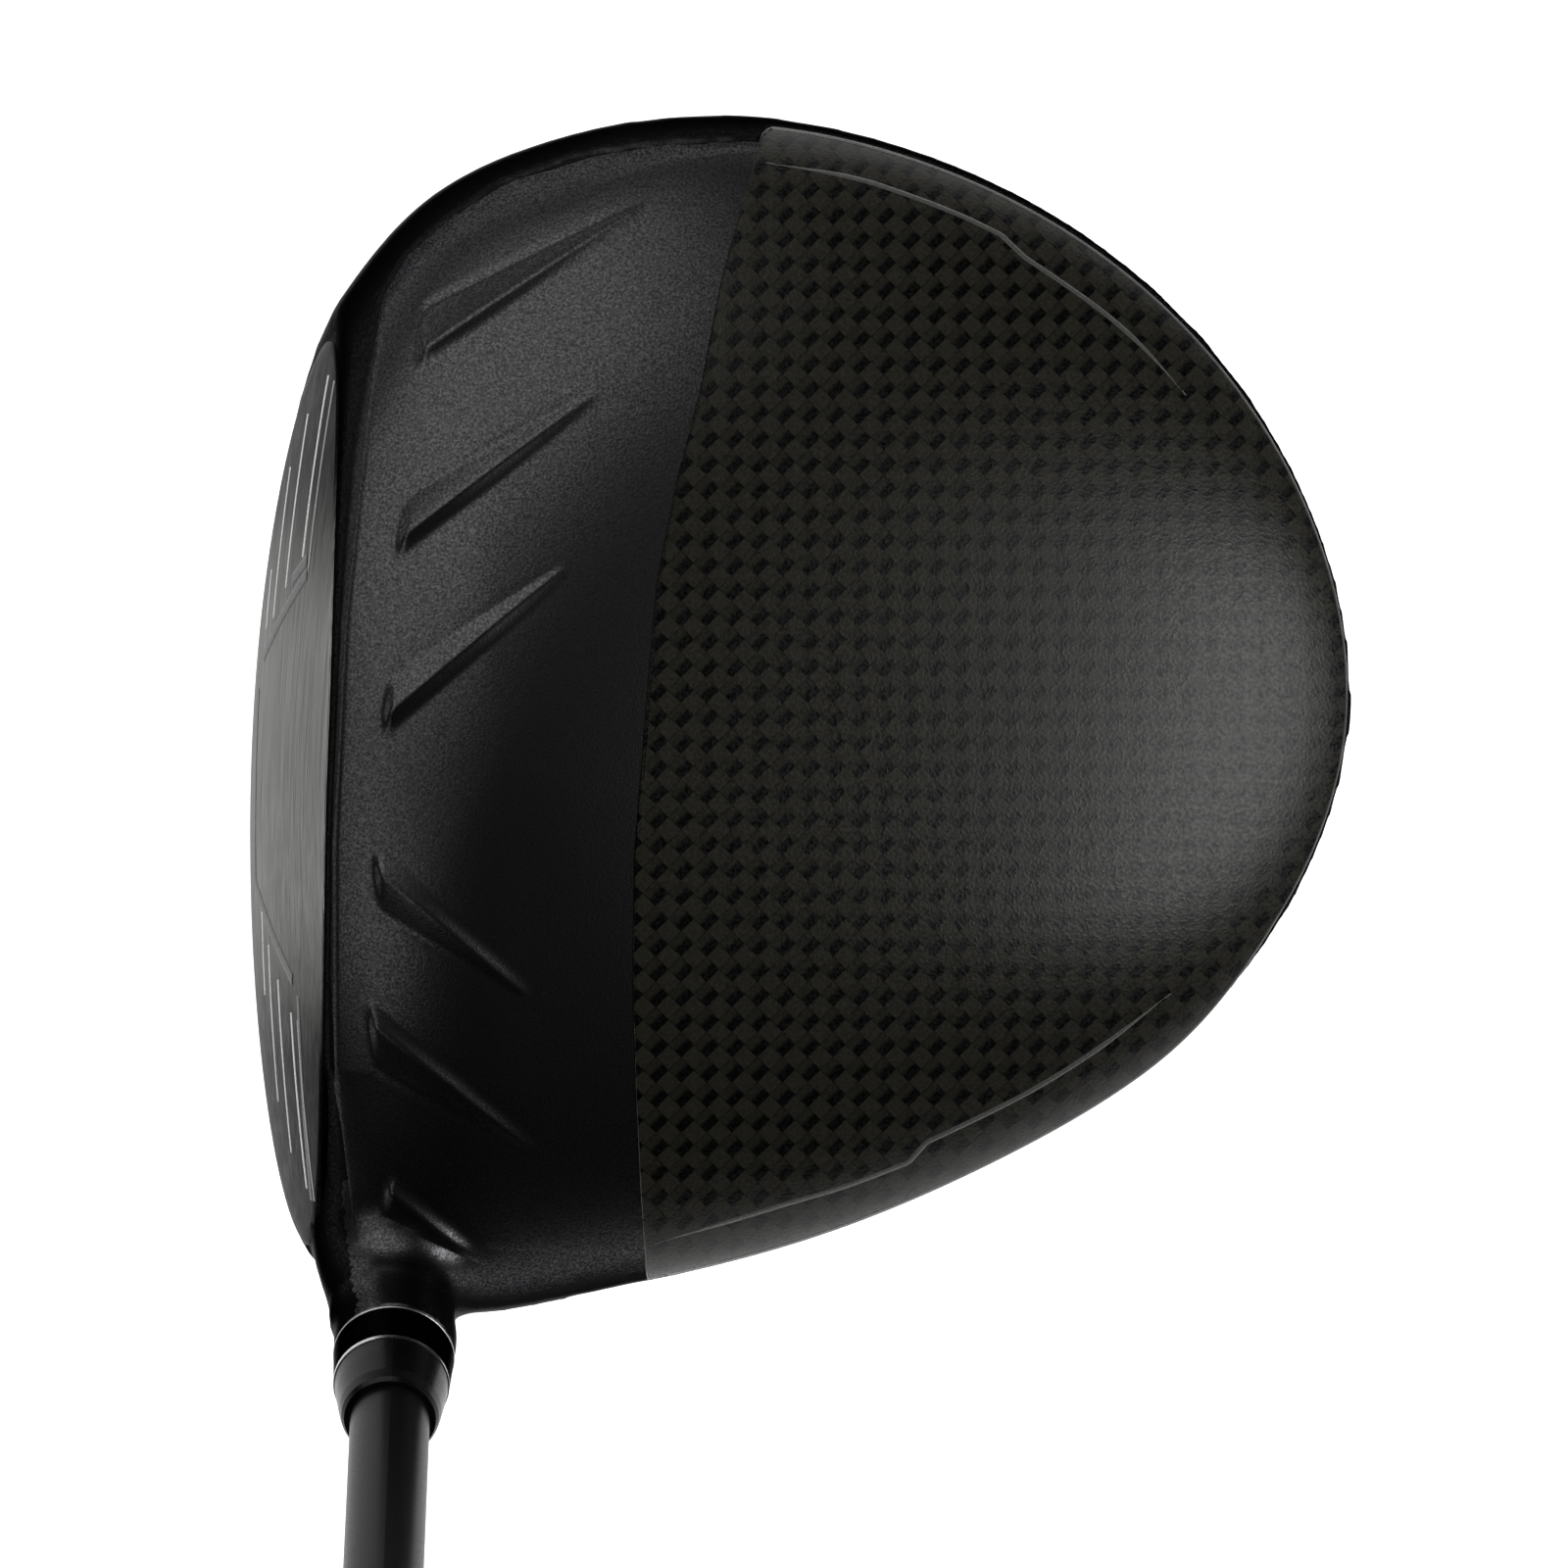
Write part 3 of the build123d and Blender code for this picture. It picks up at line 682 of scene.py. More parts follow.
# %% True the neck and cut its mouth
skin = places(bm)
along, out = on_axis(skin, HOSEL_MOUTH, HOSEL_UP)
near = (out < 12) & (along > -12)
true_radius = HOSEL_RADIUS + np.interp(-along, *np.array(NECK_GROWTH, float).T)
centre = HOSEL_MOUTH + along[:, None] * HOSEL_UP
weight = np.where(near, smoothstep(-8, -2.5, along), 0)[:, None]
skin = skin + weight * (centre + (skin - centre) * (true_radius / np.maximum(out, 1))[:, None]
                        - skin)
put(bm, skin)
cut = bmesh.ops.bisect_plane(bm, geom=bm.verts[:] + bm.edges[:] + bm.faces[:], dist=1e-5,
                             plane_co=HOSEL_MOUTH, plane_no=HOSEL_UP, clear_outer=True)
rim_edges = [g for g in cut["geom_cut"] if isinstance(g, bmesh.types.BMEdge)]
bmesh.ops.contextual_create(bm, geom=rim_edges)
print("mouth cut with", len(rim_edges), "edges")

# %% [markdown]
# ## Where the fine pieces lie
# The front of the crown and the carbon each get a skin of their own, fine enough for their
# detail.  The casting is lowered a little under them, as the ledge of the real casting is.

# %% Outline of the front crown
# its edge beside the face, from heel to toe, and then along the crease at the toe
LEFT_EDGE = np.array([
    (-20.3, -62.2), (-21.3, -59.4), (-24.5, -40.1), (-25.9, -13.8), (-26.1, 9.8),
    (-25.4, 27.8), (-24.5, 45.2), (-22.3, 49.7), (-18.1, 53.9), (-12.3, 58.4), (-4.5, 61.6),
    (3.4, 63.3), (11.4, 64.2), (15.3, 64.6),
])
TOE_CORNER = 45.2  # Y where that edge turns into the crease
HEEL_END = -58.5  # Y where the front crown ends beside the neck
WRAP_RISE = 0.12  # how far the carbon stands proud
RIM_BAND = 1.3  # width of bare casting round the carbon
before_fit = BVHTree.FromBMesh(bm)


def left_edge(y):
    """X of the front edge, and beyond the toe corner of the toe crease."""
    return np.interp(y, LEFT_EDGE[:, 1], LEFT_EDGE[:, 0])


def neck_share(x, y):
    """1 beside the neck, 0 away from it."""
    return 1 - smoothstep(20, 36, np.hypot(x + 16.0, y + 64))


def base_height(x, y):
    """Height of the crown, and beside the neck that of the casting's own fillet."""
    height = crown_at(x, y)
    share = neck_share(x, y)
    for i in np.nonzero(share > 0)[0]:
        hit = before_fit.ray_cast(Vector((x[i], y[i], 70)), Vector((0, 0, -1)))[0]
        if hit:
            height[i] += share[i] * (hit.z - height[i])
    return height


print("share of the fillet beside the neck:", round(float(neck_share(-16.0, -40.0)), 2))

# %% Lower the casting under the skins
LEDGE = 0.45
skin = places(bm)
x, y, z = skin.T
share, rim_x = crown_share(x, y)
span = np.hypot(x - CROWN_CENTRE[0], y - CROWN_CENTRE[1])
to_rim = span / np.maximum(share, 0.01) - span
in_front = x < wrap_front(y)
band = np.where(in_front, 0.0, RIM_BAND - 0.4)
cover = smoothstep(0.2, 1.0, x - left_edge(y)) * smoothstep(0, 0.8, to_rim - band)
cover *= smoothstep(0, 1.5, z - rim_height(x) - 0.5)
cover *= np.where(in_front, smoothstep(HEEL_END, HEEL_END + 1.5, y), 1)
cover *= np.where(in_front, 1 - neck_share(x, y), 1)
skin[:, 2] -= LEDGE * cover
put(bm, skin)
bmesh.ops.recalc_face_normals(bm, faces=bm.faces)
bpy.data.objects.remove(casting)
casting = finish_piece("casting", bm)
print("lowered", int((cover > 0.5).sum()), "points under the crown's skins")

# %% [markdown]
# The neck is bored in steps for the sleeve, the shelf that the hosel screw pulls on, and the
# wrench.  The weight sits in a round pocket with a threaded insert.  Each hole is cut with a
# turned cutter, as a boring bar would cut it.

# %% Cutters
WEIGHT_SEAT = np.array([58.0, 6.0, 15.1903])
WEIGHT_OUT = np.array([math.sin(math.radians(31)), 0, -math.cos(math.radians(31))])
NECK_BORE = [(0, 3), (5.6, 3), (5.6, -33.4), (3.1, -33.4), (3.1, -36.0), (5.0, -36.0),
             (5.0, -42.55), (5.5, -42.55), (5.5, -43.55), (5.0, -43.55), (5.0, -75), (0, -75)]
WEIGHT_POCKET = [(0, 9), (9.3, 9), (9.3, -5.5), (3.6, -5.5), (3.6, -10.5), (0, -10.5)]
print("bores of", max(r for r, _ in NECK_BORE), "and", max(r for r, _ in WEIGHT_POCKET), "mm")


# %% Bore the casting
def bore(piece, profile, matrix):
    cutter = finish_piece("cutter", lathe(profile, 96, matrix))
    cut = piece.modifiers.new("bore", "BOOLEAN")
    cut.operation = "DIFFERENCE"
    cut.object = cutter
    cut.solver = "EXACT"
    apply_modifiers(piece)
    bpy.data.objects.remove(cutter)


bore(casting, NECK_BORE, HOSEL)
bore(casting, WEIGHT_POCKET, axis_frame(WEIGHT_SEAT, WEIGHT_OUT))
print("bored:", len(casting.data.polygons), "faces")

# %% [markdown]
# The skirt and the neck are smooth under their coat, and the crown side of the heel is
# blasted like the front crown, so that the two flow into each other beside the neck.

# %% Dress the casting
dress(casting, "head", "cast_titanium", nodes=["head_body"])
casting.data.materials.append(FINISHES["blasted_titanium"])
for face in casting.data.polygons:
    x, y, z = face.center / MM
    if y < -50 and z > 33 and x > left_edge(y):
        face.material_index = 1
blasted = sum(face.material_index for face in casting.data.polygons)
print(blasted, "faces of the heel are blasted")

# %% [markdown]
# ## The front of the crown
# The casting shows on the front third of the crown, and six wedge ridges stand on it.  Each
# starts square behind the face, 5 mm wide, and runs to a point.  It has a sharp crest on the
# side of the head's middle, a steep wall under that, and a shallow valley on its outer side.
# The skin is a fine grid laid over the dome, with the ridges as heights.  The grid follows
# the outline of the front crown, so its edge is clean at the crease along the toe.

# %% Grid pieces
def grid_sheet(across, down, place, thickness):
    """A grid whose points place(u, v) puts, given a wall on its lower side."""
    bm = bmesh.new()
    bmesh.ops.create_grid(bm, x_segments=across, y_segments=down, size=1.0)
    spots = (places(bm)[:, :2] + 1) / 2
    put(bm, place(spots[:, 0], spots[:, 1]))
    bmesh.ops.recalc_face_normals(bm, faces=bm.faces)
    up = sum((f.normal.z for f in bm.faces))
    if up < 0:
        bmesh.ops.reverse_faces(bm, faces=bm.faces)
    bmesh.ops.solidify(bm, geom=bm.faces[:], thickness=thickness)
    bmesh.ops.recalc_face_normals(bm, faces=bm.faces)
    return bm


print("grid pieces get a wall under them")

# %% [markdown]
# A ridge is drawn as a height over the dome.  Across it, the height rises from the outer side
# to the crest and then falls down the wall.  Along it, the height and the width both fade to
# the tip.

# %% Ridges as heights
# front corner on the outer side, front corner under the crest, rear tip, height of the
# crest, depth of the valley along the outer side
RIDGES = [
    ((-19.2, 44.3), (-19.4, 39.2), (4.2, 57.1), 1.0, 0.3),
    ((-19.8, 24.1), (-20.2, 19.1), (0.3, 36.5), 1.0, 0.15),
    ((-20.6, 4.6), (-20.6, 0.1), (-2.0, 17.6), 1.0, 0.05),
    ((-20.1, -21.2), (-20.7, -16.1), (-3.3, -29.3), 0.85, 0.05),
    ((-19.7, -37.9), (-20.4, -32.5), (-1.5, -46.1), 0.85, 0.12),
    ((-18.4, -53.6), (-17.8, -50.5), (-5.1, -59.3), 0.8, 0.1),
]
WALL_WIDTH = 1.9


def ridge_height(x, y, outer, crest, tip, height, valley):
    """Height of one ridge: t runs along its crest, n across it towards its outer side."""
    outer, crest, tip = map(np.array, (outer, crest, tip))
    run = tip - crest
    length = np.linalg.norm(run)
    run = run / length
    side = np.array([-run[1], run[0]])
    if side @ (outer - crest) < 0:
        side = -side
    t = ((x - crest[0]) * run[0] + (y - crest[1]) * run[1]) / length
    n = (x - crest[0]) * side[0] + (y - crest[1]) * side[1]
    front = outer - crest
    back = np.array([-front[1], front[0]]) / np.linalg.norm(front)
    if back @ run < 0:
        back = -back
    behind = (x - crest[0]) * back[0] + (y - crest[1]) * back[1]
    fade = np.clip(1 - t, 0, 1) ** 0.75 * smoothstep(1.02, 0.9, t)
    width = side @ (outer - crest) * np.clip(1 - t, 0.02, 1.05) ** 0.9
    rise = height * fade
    slope = rise + (-valley * fade - rise) * np.clip(n / width, 0, 1) ** 1.15
    beyond = -valley * fade * smoothstep(1.1, 0.0, n - width)
    wall_width = WALL_WIDTH * (0.55 + 0.45 * fade)
    wall = rise * np.clip(1 + n / wall_width, 0, 1) ** 1.5
    shape = np.where(n < 0, wall, np.where(n < width, slope, beyond))
    return shape * smoothstep(-0.45, 0.65, behind)


print(len(RIDGES), "ridges, the longest",
      round(max(math.dist(crest, tip) for _, crest, tip, _, _ in RIDGES), 1), "mm")

# %% Skin of the front crown
TOE_END = 64.4
UNDERLAP = 0.7  # how far it runs on under the carbon


def crown_front_place(u, v):
    """Points of the front crown: v runs from heel to toe, u from the face to the carbon."""
    y = HEEL_END + (TOE_END - HEEL_END) * v
    left = left_edge(y)
    x = left + (wrap_front(y) + UNDERLAP - left) * u
    height = base_height(x, y)
    for ridge in RIDGES:
        height += ridge_height(x, y, *ridge)
    inside = x - left
    toe = smoothstep(TOE_CORNER - 2, TOE_CORNER + 2, y)
    slant = 1 + 1.6 * toe * smoothstep(-26, -6, x)
    edge = inside / slant * (1 - 0.55 * toe * smoothstep(-24, -2, x))
    rim = smoothstep(0.0, 0.9 + 1.3 * toe, edge)
    height -= 0.6 * (1 - rim)
    height -= 0.18 * smoothstep(3.0, 0.0, y - HEEL_END)
    height += 0.03
    return np.column_stack([x, y, height])


bm = grid_sheet(110, 400, crown_front_place, 0.5)
crown_front = finish_piece("crown_front", bm)
dress(crown_front, "head", "blasted_titanium")
print("front crown:", len(crown_front.data.polygons), "faces")

# %% [markdown]
# ## The face
# The striking face is a separate plate let into the casting with a 1.1 mm margin, which is
# wider at the toe.
# It is part of a ball of 305 mm radius, so a shot off the middle curves back.  Its outline is
# where that ball comes out of the dome, found by halving.

# %% Where the face ends
FACE_MARGIN = 1.1
TOE_MARGIN = 2.5  # added to the margin at the toe
PLATE_RISE = 0.06
SOLE_ANGLES = np.unwrap(np.arctan2(RIM[:, 1] - SOLE_CENTRE[1], RIM[:, 0] - SOLE_CENTRE[0]))
SOLE_RADII = np.linalg.norm(RIM - SOLE_CENTRE, axis=1)


def on_ball(y, z, rise=0.0):
    """The point of the face at a height and a distance from its middle."""
    radius = FACE_RADIUS + rise
    reach = radius**2 - (y - FACE_CENTRE[1])**2 - (z - FACE_CENTRE[2])**2
    return np.array([FACE_CENTRE[0] - math.sqrt(reach), y, z])


def inside_dome(point):
    """Whether a point is under the crown and over the sole."""
    x, y, z = point
    share, rim_x = crown_share(x, y)
    if share > 1:
        return False
    if z > rim_height(rim_x):
        return z < crown_height(share, rim_x)
    angle = math.atan2(y - SOLE_CENTRE[1], x - SOLE_CENTRE[0])
    radius = np.interp(angle, SOLE_ANGLES, SOLE_RADII, period=2 * math.pi)
    sole_rim_x = SOLE_CENTRE[0] + radius * math.cos(angle)
    share = math.hypot(x - SOLE_CENTRE[0], y - SOLE_CENTRE[1]) / radius
    return z > sole_height(max(share, PAD_SHARE), sole_rim_x)


def face_reach(turn):
    """How far the face reaches from its middle in one direction, by halving."""
    low, high = 5.0, 90.0
    for _ in range(24):
        half = (low + high) / 2
        y = FACE_MIDDLE[1] + half * math.cos(turn)
        z = FACE_MIDDLE[2] + half * math.sin(turn)
        if 0.5 < z < CROWN_TOP + 2 and inside_dome(on_ball(y, z)):
            low = half
        else:
            high = half
    return low


print("middle of the face:", on_ball(*FACE_MIDDLE[1:]).round(1))

# %% Outline of the plate
TURNS = np.linspace(0, 2 * math.pi, 360, endpoint=False)
reach = np.array([face_reach(turn) for turn in TURNS])
outline = np.column_stack([FACE_MIDDLE[1] + reach * np.cos(TURNS),
                           FACE_MIDDLE[2] + reach * np.sin(TURNS)])
ahead = np.roll(outline, -1, axis=0) - np.roll(outline, 1, axis=0)
inward = np.column_stack([-ahead[:, 1], ahead[:, 0]])
inward /= np.linalg.norm(inward, axis=1, keepdims=True)
margin = FACE_MARGIN + TOE_MARGIN * np.clip(-inward[:, :1], 0, 1) ** 2
outline = outline + margin * inward
for _ in range(4):
    outline = (np.roll(outline, 1, axis=0) + 2 * outline + np.roll(outline, -1, axis=0)) / 4
print("face:", np.ptp(outline, axis=0).round(1), "mm long and high")


# %% Face plate
def face_ring(share, rise):
    middle = FACE_MIDDLE[1:]
    ring = middle + share * (outline - middle)
    return np.array([on_ball(y, z, rise) for y, z in ring])


rings = [face_ring(s, PLATE_RISE) for s in np.linspace(0.02, 0.995, 40)]
rings.append(face_ring(1.0, PLATE_RISE - 0.12))
rings.append(face_ring(1.0, -0.8))
rings += [face_ring(s, -0.8) for s in np.linspace(0.9, 0.02, 10)]
bm = bmesh.new()
stack_rings(bm, rings)
face_plate = finish_piece("face_plate", bm)
dress(face_plate, "head", "brushed_titanium", nodes=["face_insert"])
print("face plate:", len(face_plate.data.polygons), "faces")

# %% [markdown]
# ## Lines on the face
# Score lines are short grooves filled with paint at both ends of the face, and fine etched
# lines mark its sweet spot.  Each is a thin strip laid on the plate, a few hundredths of a
# millimetre proud, so its outline stays crisp where a painted texture would blur.


# %% Strips
def soften(points, rounds=3):
    """Cuts the corners of a line of points, keeping its ends."""
    line = np.array(points, float)
    for _ in range(rounds):
        near = line[:-1] * 0.75 + line[1:] * 0.25
        far = line[:-1] * 0.25 + line[1:] * 0.75
        middle = np.stack([near, far], axis=1).reshape(-1, 2)
        line = np.vstack([line[:1], middle[1:-1], line[-1:]])
    return line


def strip(points, width, place, point_length=0.0, lift=0.04, thickness=0.15):
    """A thin strip along a plan line; place(a, b, lift) puts a plan point on a surface."""
    line = np.array(points, float)
    steps = np.concatenate([[0], np.cumsum(np.linalg.norm(np.diff(line, axis=0), axis=1))])
    length = steps[-1]
    count = max(8, int(length / 0.5))

    def lay(u, v):
        at = u * length
        a = np.interp(at, steps, line[:, 0])
        b = np.interp(at, steps, line[:, 1])
        ahead = np.minimum(at + 0.2, length)
        back = np.maximum(at - 0.2, 0)
        da = np.interp(ahead, steps, line[:, 0]) - np.interp(back, steps, line[:, 0])
        db = np.interp(ahead, steps, line[:, 1]) - np.interp(back, steps, line[:, 1])
        size = np.hypot(da, db)
        half = np.full(len(u), width / 2)
        if point_length:
            half *= np.clip(np.minimum(at, length - at) / point_length, 0.05, 1)
        off = (v * 2 - 1) * half
        a = a - db / size * off
        b = b + da / size * off
        drop = np.where(np.abs(v - 0.5) > 0.45, lift * 0.8, 0)
        return np.array([place(i, j, lift - d) for i, j, d in zip(a, b, drop)])

    return grid_sheet(count, 4, lay, thickness)


print("a softened corner has", len(soften([(0, 0), (1, 0), (1, 1)])), "points")


# %% Score lines
def on_face(y, z, lift):
    return on_ball(y, z, PLATE_RISE + lift)


SCORE_LINES = [  # height, nearer end, farther end
    (40.7, 15.2, 35.8), (37.0, 16.7, 36.4), (28.7, 13.4, 32.3), (22.0, 10.1, 26.6),
    (16.8, 8.9, 15.4), (20.3, -30.8, -21.8), (24.6, -42.2, -25.3), (30.0, -47.5, -28.9),
    (36.7, -51.1, -32.3), (40.0, -52.3, -33.0),
]
for number, (z, start, end) in enumerate(SCORE_LINES):
    bm = strip([(start, z), (end, z)], 0.9, on_face)
    finish = "inlay_silver" if z > 39 else "line_paint"
    line = finish_piece(f"score_line_{number + 1}", bm)
    dress(line, "head", finish)
print(len(SCORE_LINES), "score lines")

# %% Etched lines
ETCHED = [
    [(15.0, 40.3), (5.9, 16.5)], [(16.5, 39.6), (14.2, 32.2)],
    [(2.5, 14.0), (-18.7, 15.0)], [(-18.7, 15.0), (-28.8, 38.5)],
    [(-30.4, 41.0), (-52.3, 38.5)],
]
for number, points in enumerate(ETCHED):
    bm = strip(points, 1.6, on_face, lift=0.03)
    dress(finish_piece(f"etched_line_{number + 1}", bm), "head", "etched_dark")
print(len(ETCHED), "etched lines")

# %% [markdown]
# ## The carbon crown
# The carbon crown is moulded as one shell 0.8 mm thick and bonded on the ledge.  It stands a
# tenth of a millimetre proud and its trimmed edge is broken, which draws the thin light line
# along its front.  The shell is skinned in rings from its middle to its outline.

# %% Outline of the carbon
WRAP_MIDDLE = np.array([38.0, 0.0])
WRAP_POINTS = 440
rear = [p for p in RIM if p[0] > wrap_front(p[1]) - 2]
rear = sorted(rear, key=lambda p: math.atan2(p[1] - WRAP_MIDDLE[1], p[0] - WRAP_MIDDLE[0]))
rear = np.array(rear)
tangent = np.gradient(rear, axis=0)
normal = np.column_stack([-tangent[:, 1], tangent[:, 0]])
normal /= np.linalg.norm(normal, axis=1, keepdims=True)
reveal = 0.3 + (RIM_BAND - 0.3) * smoothstep(-34, -16, rear[:, 1])
rear = rear + normal * reveal[:, None]
rear = rear[rear[:, 0] > wrap_front(rear[:, 1])]
toe_y = rear[-1, 1]
heel_y = rear[0, 1]
fore_y = np.linspace(toe_y, heel_y, 160)
fore = np.column_stack([wrap_front(fore_y), fore_y])
border = np.vstack([rear, fore[1:-1]])
gaps = np.linalg.norm(np.diff(np.vstack([border, border[:1]]), axis=0), axis=1)
way = np.concatenate([[0], np.cumsum(gaps)])
spots = np.linspace(0, way[-1], WRAP_POINTS, endpoint=False)
closed = np.vstack([border, border[:1]])
border = np.column_stack([np.interp(spots, way, closed[:, axis]) for axis in (0, 1)])
print("carbon from", round(float(heel_y), 1), "at the heel to", round(float(toe_y), 1))


# %% Carbon crown
def wrap_ring(share, rise, inset=0.0):
    """The outline drawn in to a share of its size, at a rise over the dome."""
    span = np.linalg.norm(border - WRAP_MIDDLE, axis=1, keepdims=True)
    plan = WRAP_MIDDLE + (border - WRAP_MIDDLE) * share * (1 - inset / span)
    return np.column_stack([plan, base_height(plan[:, 0], plan[:, 1]) + rise])


rings = [wrap_ring(1 - (1 - s) ** 1.5, WRAP_RISE) for s in np.linspace(0.02, 0.985, 64)]
rings.append(wrap_ring(1, WRAP_RISE, 0.45))
rings.append(wrap_ring(1, WRAP_RISE - 0.02, 0.22))
rings.append(wrap_ring(1, WRAP_RISE - 0.12, 0.06))
rings.append(wrap_ring(1, WRAP_RISE - 0.3, 0.0))
rings.append(wrap_ring(1, -0.8, 0.1))
rings += [wrap_ring(s, -0.8) for s in np.linspace(0.93, 0.02, 16)]
bm = bmesh.new()
stack_rings(bm, rings)
carbon_crown = finish_piece("carbon_crown", bm)
dress(carbon_crown, "head", "carbon_weave", nodes=["crown_wrap"])
print("carbon crown:", len(carbon_crown.data.polygons), "faces")

# %% [markdown]
# ## The printed lines
# Two thin silver-grey lines run along the crown's shoulders.  They are printed under the
# lacquer on the real club; strips a hair proud of the shell give the same line.


# %% Inlay lines
def on_crown(x, y, lift):
    return np.array([x, y, crown_at(np.array([x]), np.array([y]))[0] + WRAP_RISE + lift])


INLAYS = {
    "toe": [[(16.3, 61.8), (25.6, 61.0), (32.2, 59.2), (37.8, 57.4), (42.0, 55.6)],
            [(44.7, 53.3), (52.3, 48.8), (56.5, 45.7), (59.9, 42.6), (62.8, 39.5)]],
    "heel": [[(10.9, -54.8), (18.4, -52.1), (25.4, -49.5), (31.0, -47.6), (37.8, -44.5)],
             [(39.6, -42.2), (45.0, -39.3), (51.2, -35.7), (57.2, -31.4), (61.7, -27.6),
              (64.9, -24.7)]],
}
for side, (fore_part, rear_part) in INLAYS.items():
    line = np.vstack([soften(fore_part), soften(rear_part)])
    bm = strip(line, 0.52, on_crown, point_length=9.0, lift=0.03)
    dress(finish_piece(f"inlay_{side}", bm), "head", "inlay_silver")
print("inlays:", sorted(INLAYS))

# %% [markdown]
# ## The edge of the sleeve
# The sleeve is anodised black.  Where it meets the neck, a thin ring of bright aluminium
# paints the highlight that its edge catches.  A ring turned from a small profile is enough.

# %% Painted highlight on the sleeve's edge
# the ring's bright colour is a painted highlight along the sleeve's edge
bm = lathe([(6.1, 0.14), (6.47, 0.14), (6.51, 0.24), (6.47, 0.42), (6.1, 0.42)], 160, HOSEL)
dress(finish_piece("sleeve_edge_painted_highlight", bm), "shaft_assembly", "bright_aluminium")
print("bare edge of the sleeve, 0.3 mm wide")

# %% [markdown]
# ## The grip
# A grip is moulded rubber that widens towards the butt, with fine grooves round it that give
# the hands hold.  A row of grooves in one turned profile makes them all at once.

# %% Grip
CLUB_LENGTH = 1162.0  # measured along the shaft to the ground
BUTT = CLUB_LENGTH - SHAFT_FOOT[2] / SHAFT_UP[2]
GRIP_LENGTH = 270.0
GROOVE_PITCH = 4.0


def grip_profile():
    """Radius and distance along the shaft, up the outside and back down the inside."""
    low = BUTT - GRIP_LENGTH
    top = BUTT - 6.0
    outer = [(8.3, low), (8.8, low + 0.15), (9.0, low + 0.6)]
    z = low + 14.0
    while z < top - 34:
        radius = 9.0 + (13.2 - 9.0) * (z - low) / (top - low)
        outer += [(radius, z), (radius - 0.35, z + 0.35), (radius - 0.35, z + 0.75),
                  (radius, z + 1.1)]
        z += GROOVE_PITCH
    outer += [(13.2, top)]
    inner = [(7.95, top), (7.5, low)]
    return outer + inner


grip = finish_piece("grip_sleeve", lathe(grip_profile(), 96, SHAFT))
dress(grip, "shaft_assembly", "grip_rubber", nodes=["grip"])
print("grip:", len(grip.data.polygons), "faces")

# %% [markdown]
# ## Floor
# The floor is white paper.  Most of its light is its own, so it stays even and pale in every
# view.  The club hangs over it by its grip, high enough for the head to turn right round its
# neck and to slide off the sleeve.

# %% Floor
FLOOR_DROP = 0.17
bm = bmesh.new()
bmesh.ops.create_circle(bm, segments=96, radius=40.0, cap_ends=True)
bmesh.ops.translate(bm, vec=(0, 0, -FLOOR_DROP), verts=bm.verts)
floor = finish_piece("floor", bm, scale=1)
finish, tree, shader, place = new_finish(
    "studio_floor_white_paper", Roughness=0.9, Emission_Color=linear("#ffffff"),
    Emission_Strength=0.8)
fibre = add(tree, "ShaderNodeTexNoise", {"Vector": place, "Scale": per_metre(3.0)})
paper = add(tree, "ShaderNodeValToRGB", {"Fac": fibre.outputs["Fac"]},
            stops=[(0.3, "#f4f4f4"), (0.7, "#fafafa")])
tree.links.new(paper.outputs["Color"], shader.inputs["Base Color"])
floor.data.materials.append(finish)
print("floor", FLOOR_DROP, "m under the sole")
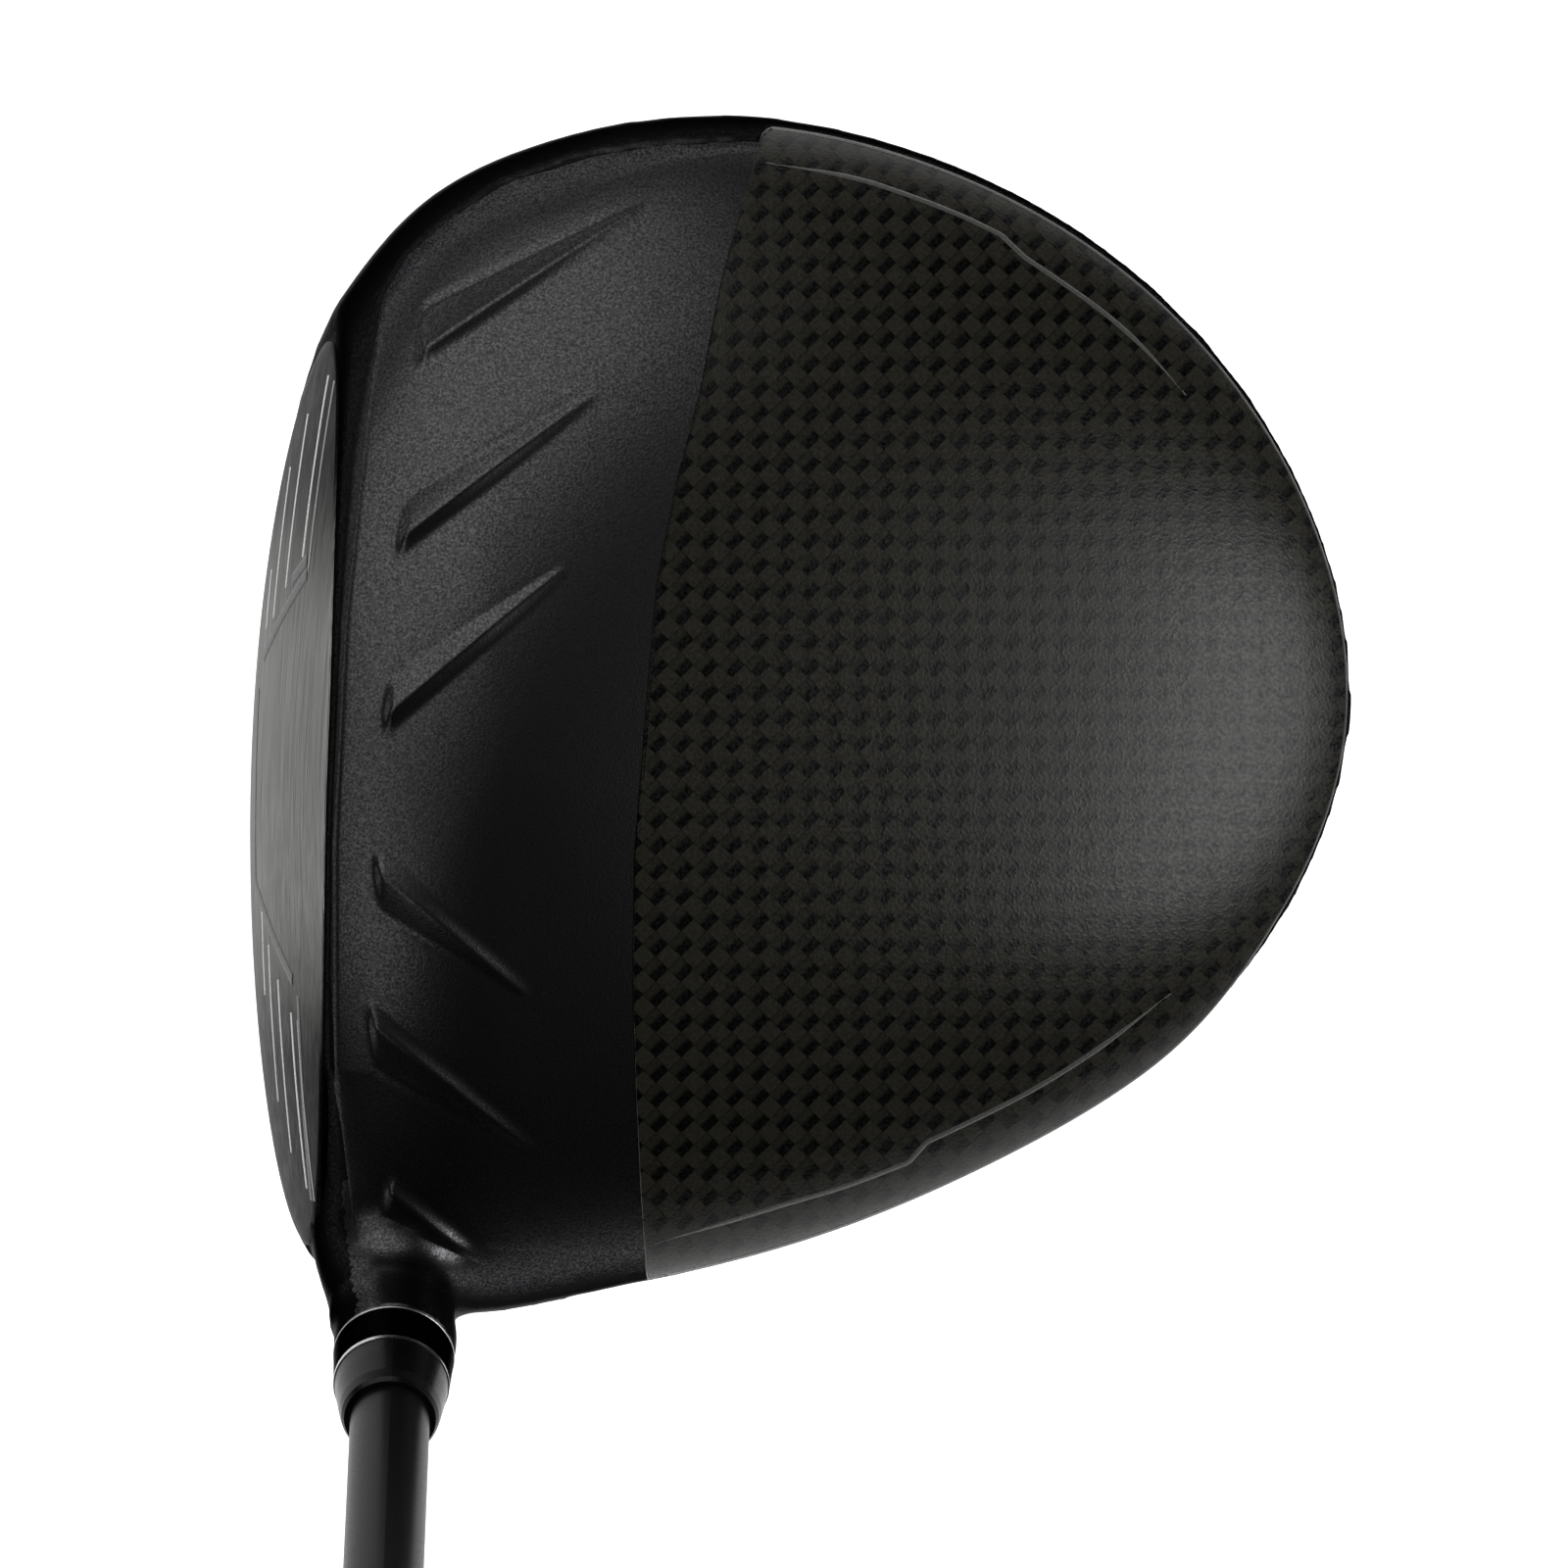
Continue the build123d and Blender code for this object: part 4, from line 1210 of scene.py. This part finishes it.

# %% [markdown]
# ## Light
# A black object shows its form by what it reflects, and one seen from above reflects the
# space over it.  A large softbox towards the toe lights the front crown and leaves the far
# walls of its ridges black.  A long one behind the rear lays a broad glow on the carbon.  The
# rest of the space stays dark, so the painted black between the carbon's tows stays black.

# %% Lights
AIM = Vector((0.01, 0, 0.04))
DISTANCE = 1.3
SOFTBOXES = [  # name, azimuth from +X, elevation, width, height, power
    ("toe_softbox", 124, 39, 1.6, 1.15, 10.0),
    ("high_softbox", 146, 67, 0.8, 0.35, 0.8),
    ("heel_softbox", 218, 52, 0.5, 0.4, 0.8),
    ("face_softbox", 190, 46, 0.6, 0.4, 1.0),
    ("rear_softbox", -2, 36, 1.0, 0.45, 10.0),
    ("rear_high_softbox", 10, 50, 0.7, 0.3, 1.0),
]
for name, azimuth, elevation, width, height, power in SOFTBOXES:
    light = bpy.data.lights.new(name, "AREA")
    light.shape = "RECTANGLE"
    light.size = width
    light.size_y = height
    light.energy = power
    lamp = bpy.data.objects.new(name, light)
    a = math.radians(azimuth)
    e = math.radians(elevation)
    away = Vector((math.cos(e) * math.cos(a), math.cos(e) * math.sin(a), math.sin(e)))
    lamp.location = AIM + away * DISTANCE
    lamp.rotation_euler = away.to_track_quat("Z", "Y").to_euler()
    lamp.visible_camera = False
    bpy.context.scene.collection.objects.link(lamp)
print(len(SOFTBOXES), "softboxes")

# %% World
world = bpy.data.worlds.new("dim_studio")
world.use_nodes = True
sky = world.node_tree
seen = add(sky, "ShaderNodeLightPath").outputs["Is Camera Ray"]
level = add(sky, "ShaderNodeMapRange", {"Value": seen, "To Min": 0.02, "To Max": 0.82})
sky.nodes["Background"].inputs["Color"].default_value = linear("#ffffff")
sky.links.new(level.outputs["Result"], sky.nodes["Background"].inputs["Strength"])
bpy.context.scene.world = world
bpy.context.scene.view_settings.view_transform = "Standard"
print("the studio is dark, and pale only behind the club")

# %% [markdown]
# ## Camera
# The camera looks straight down at the head from 1.85 m, past the grip, with a long lens, so
# the shaft runs out of the frame and the head keeps its true outline.

# %% Camera
TURN = math.radians(3.3)
camera = bpy.data.objects.new("camera", bpy.data.cameras.new("camera"))
camera.data.sensor_width = 36.0
camera.data.lens = 386.9
camera.data.clip_start = 0.05
camera.data.clip_end = 20.0
camera.location = (0.02208, -0.00467, 1.85)
camera.rotation_euler = (0, 0, TURN)
bpy.context.scene.collection.objects.link(camera)
bpy.context.scene.camera = camera
print("camera", [round(v, 3) for v in camera.location])
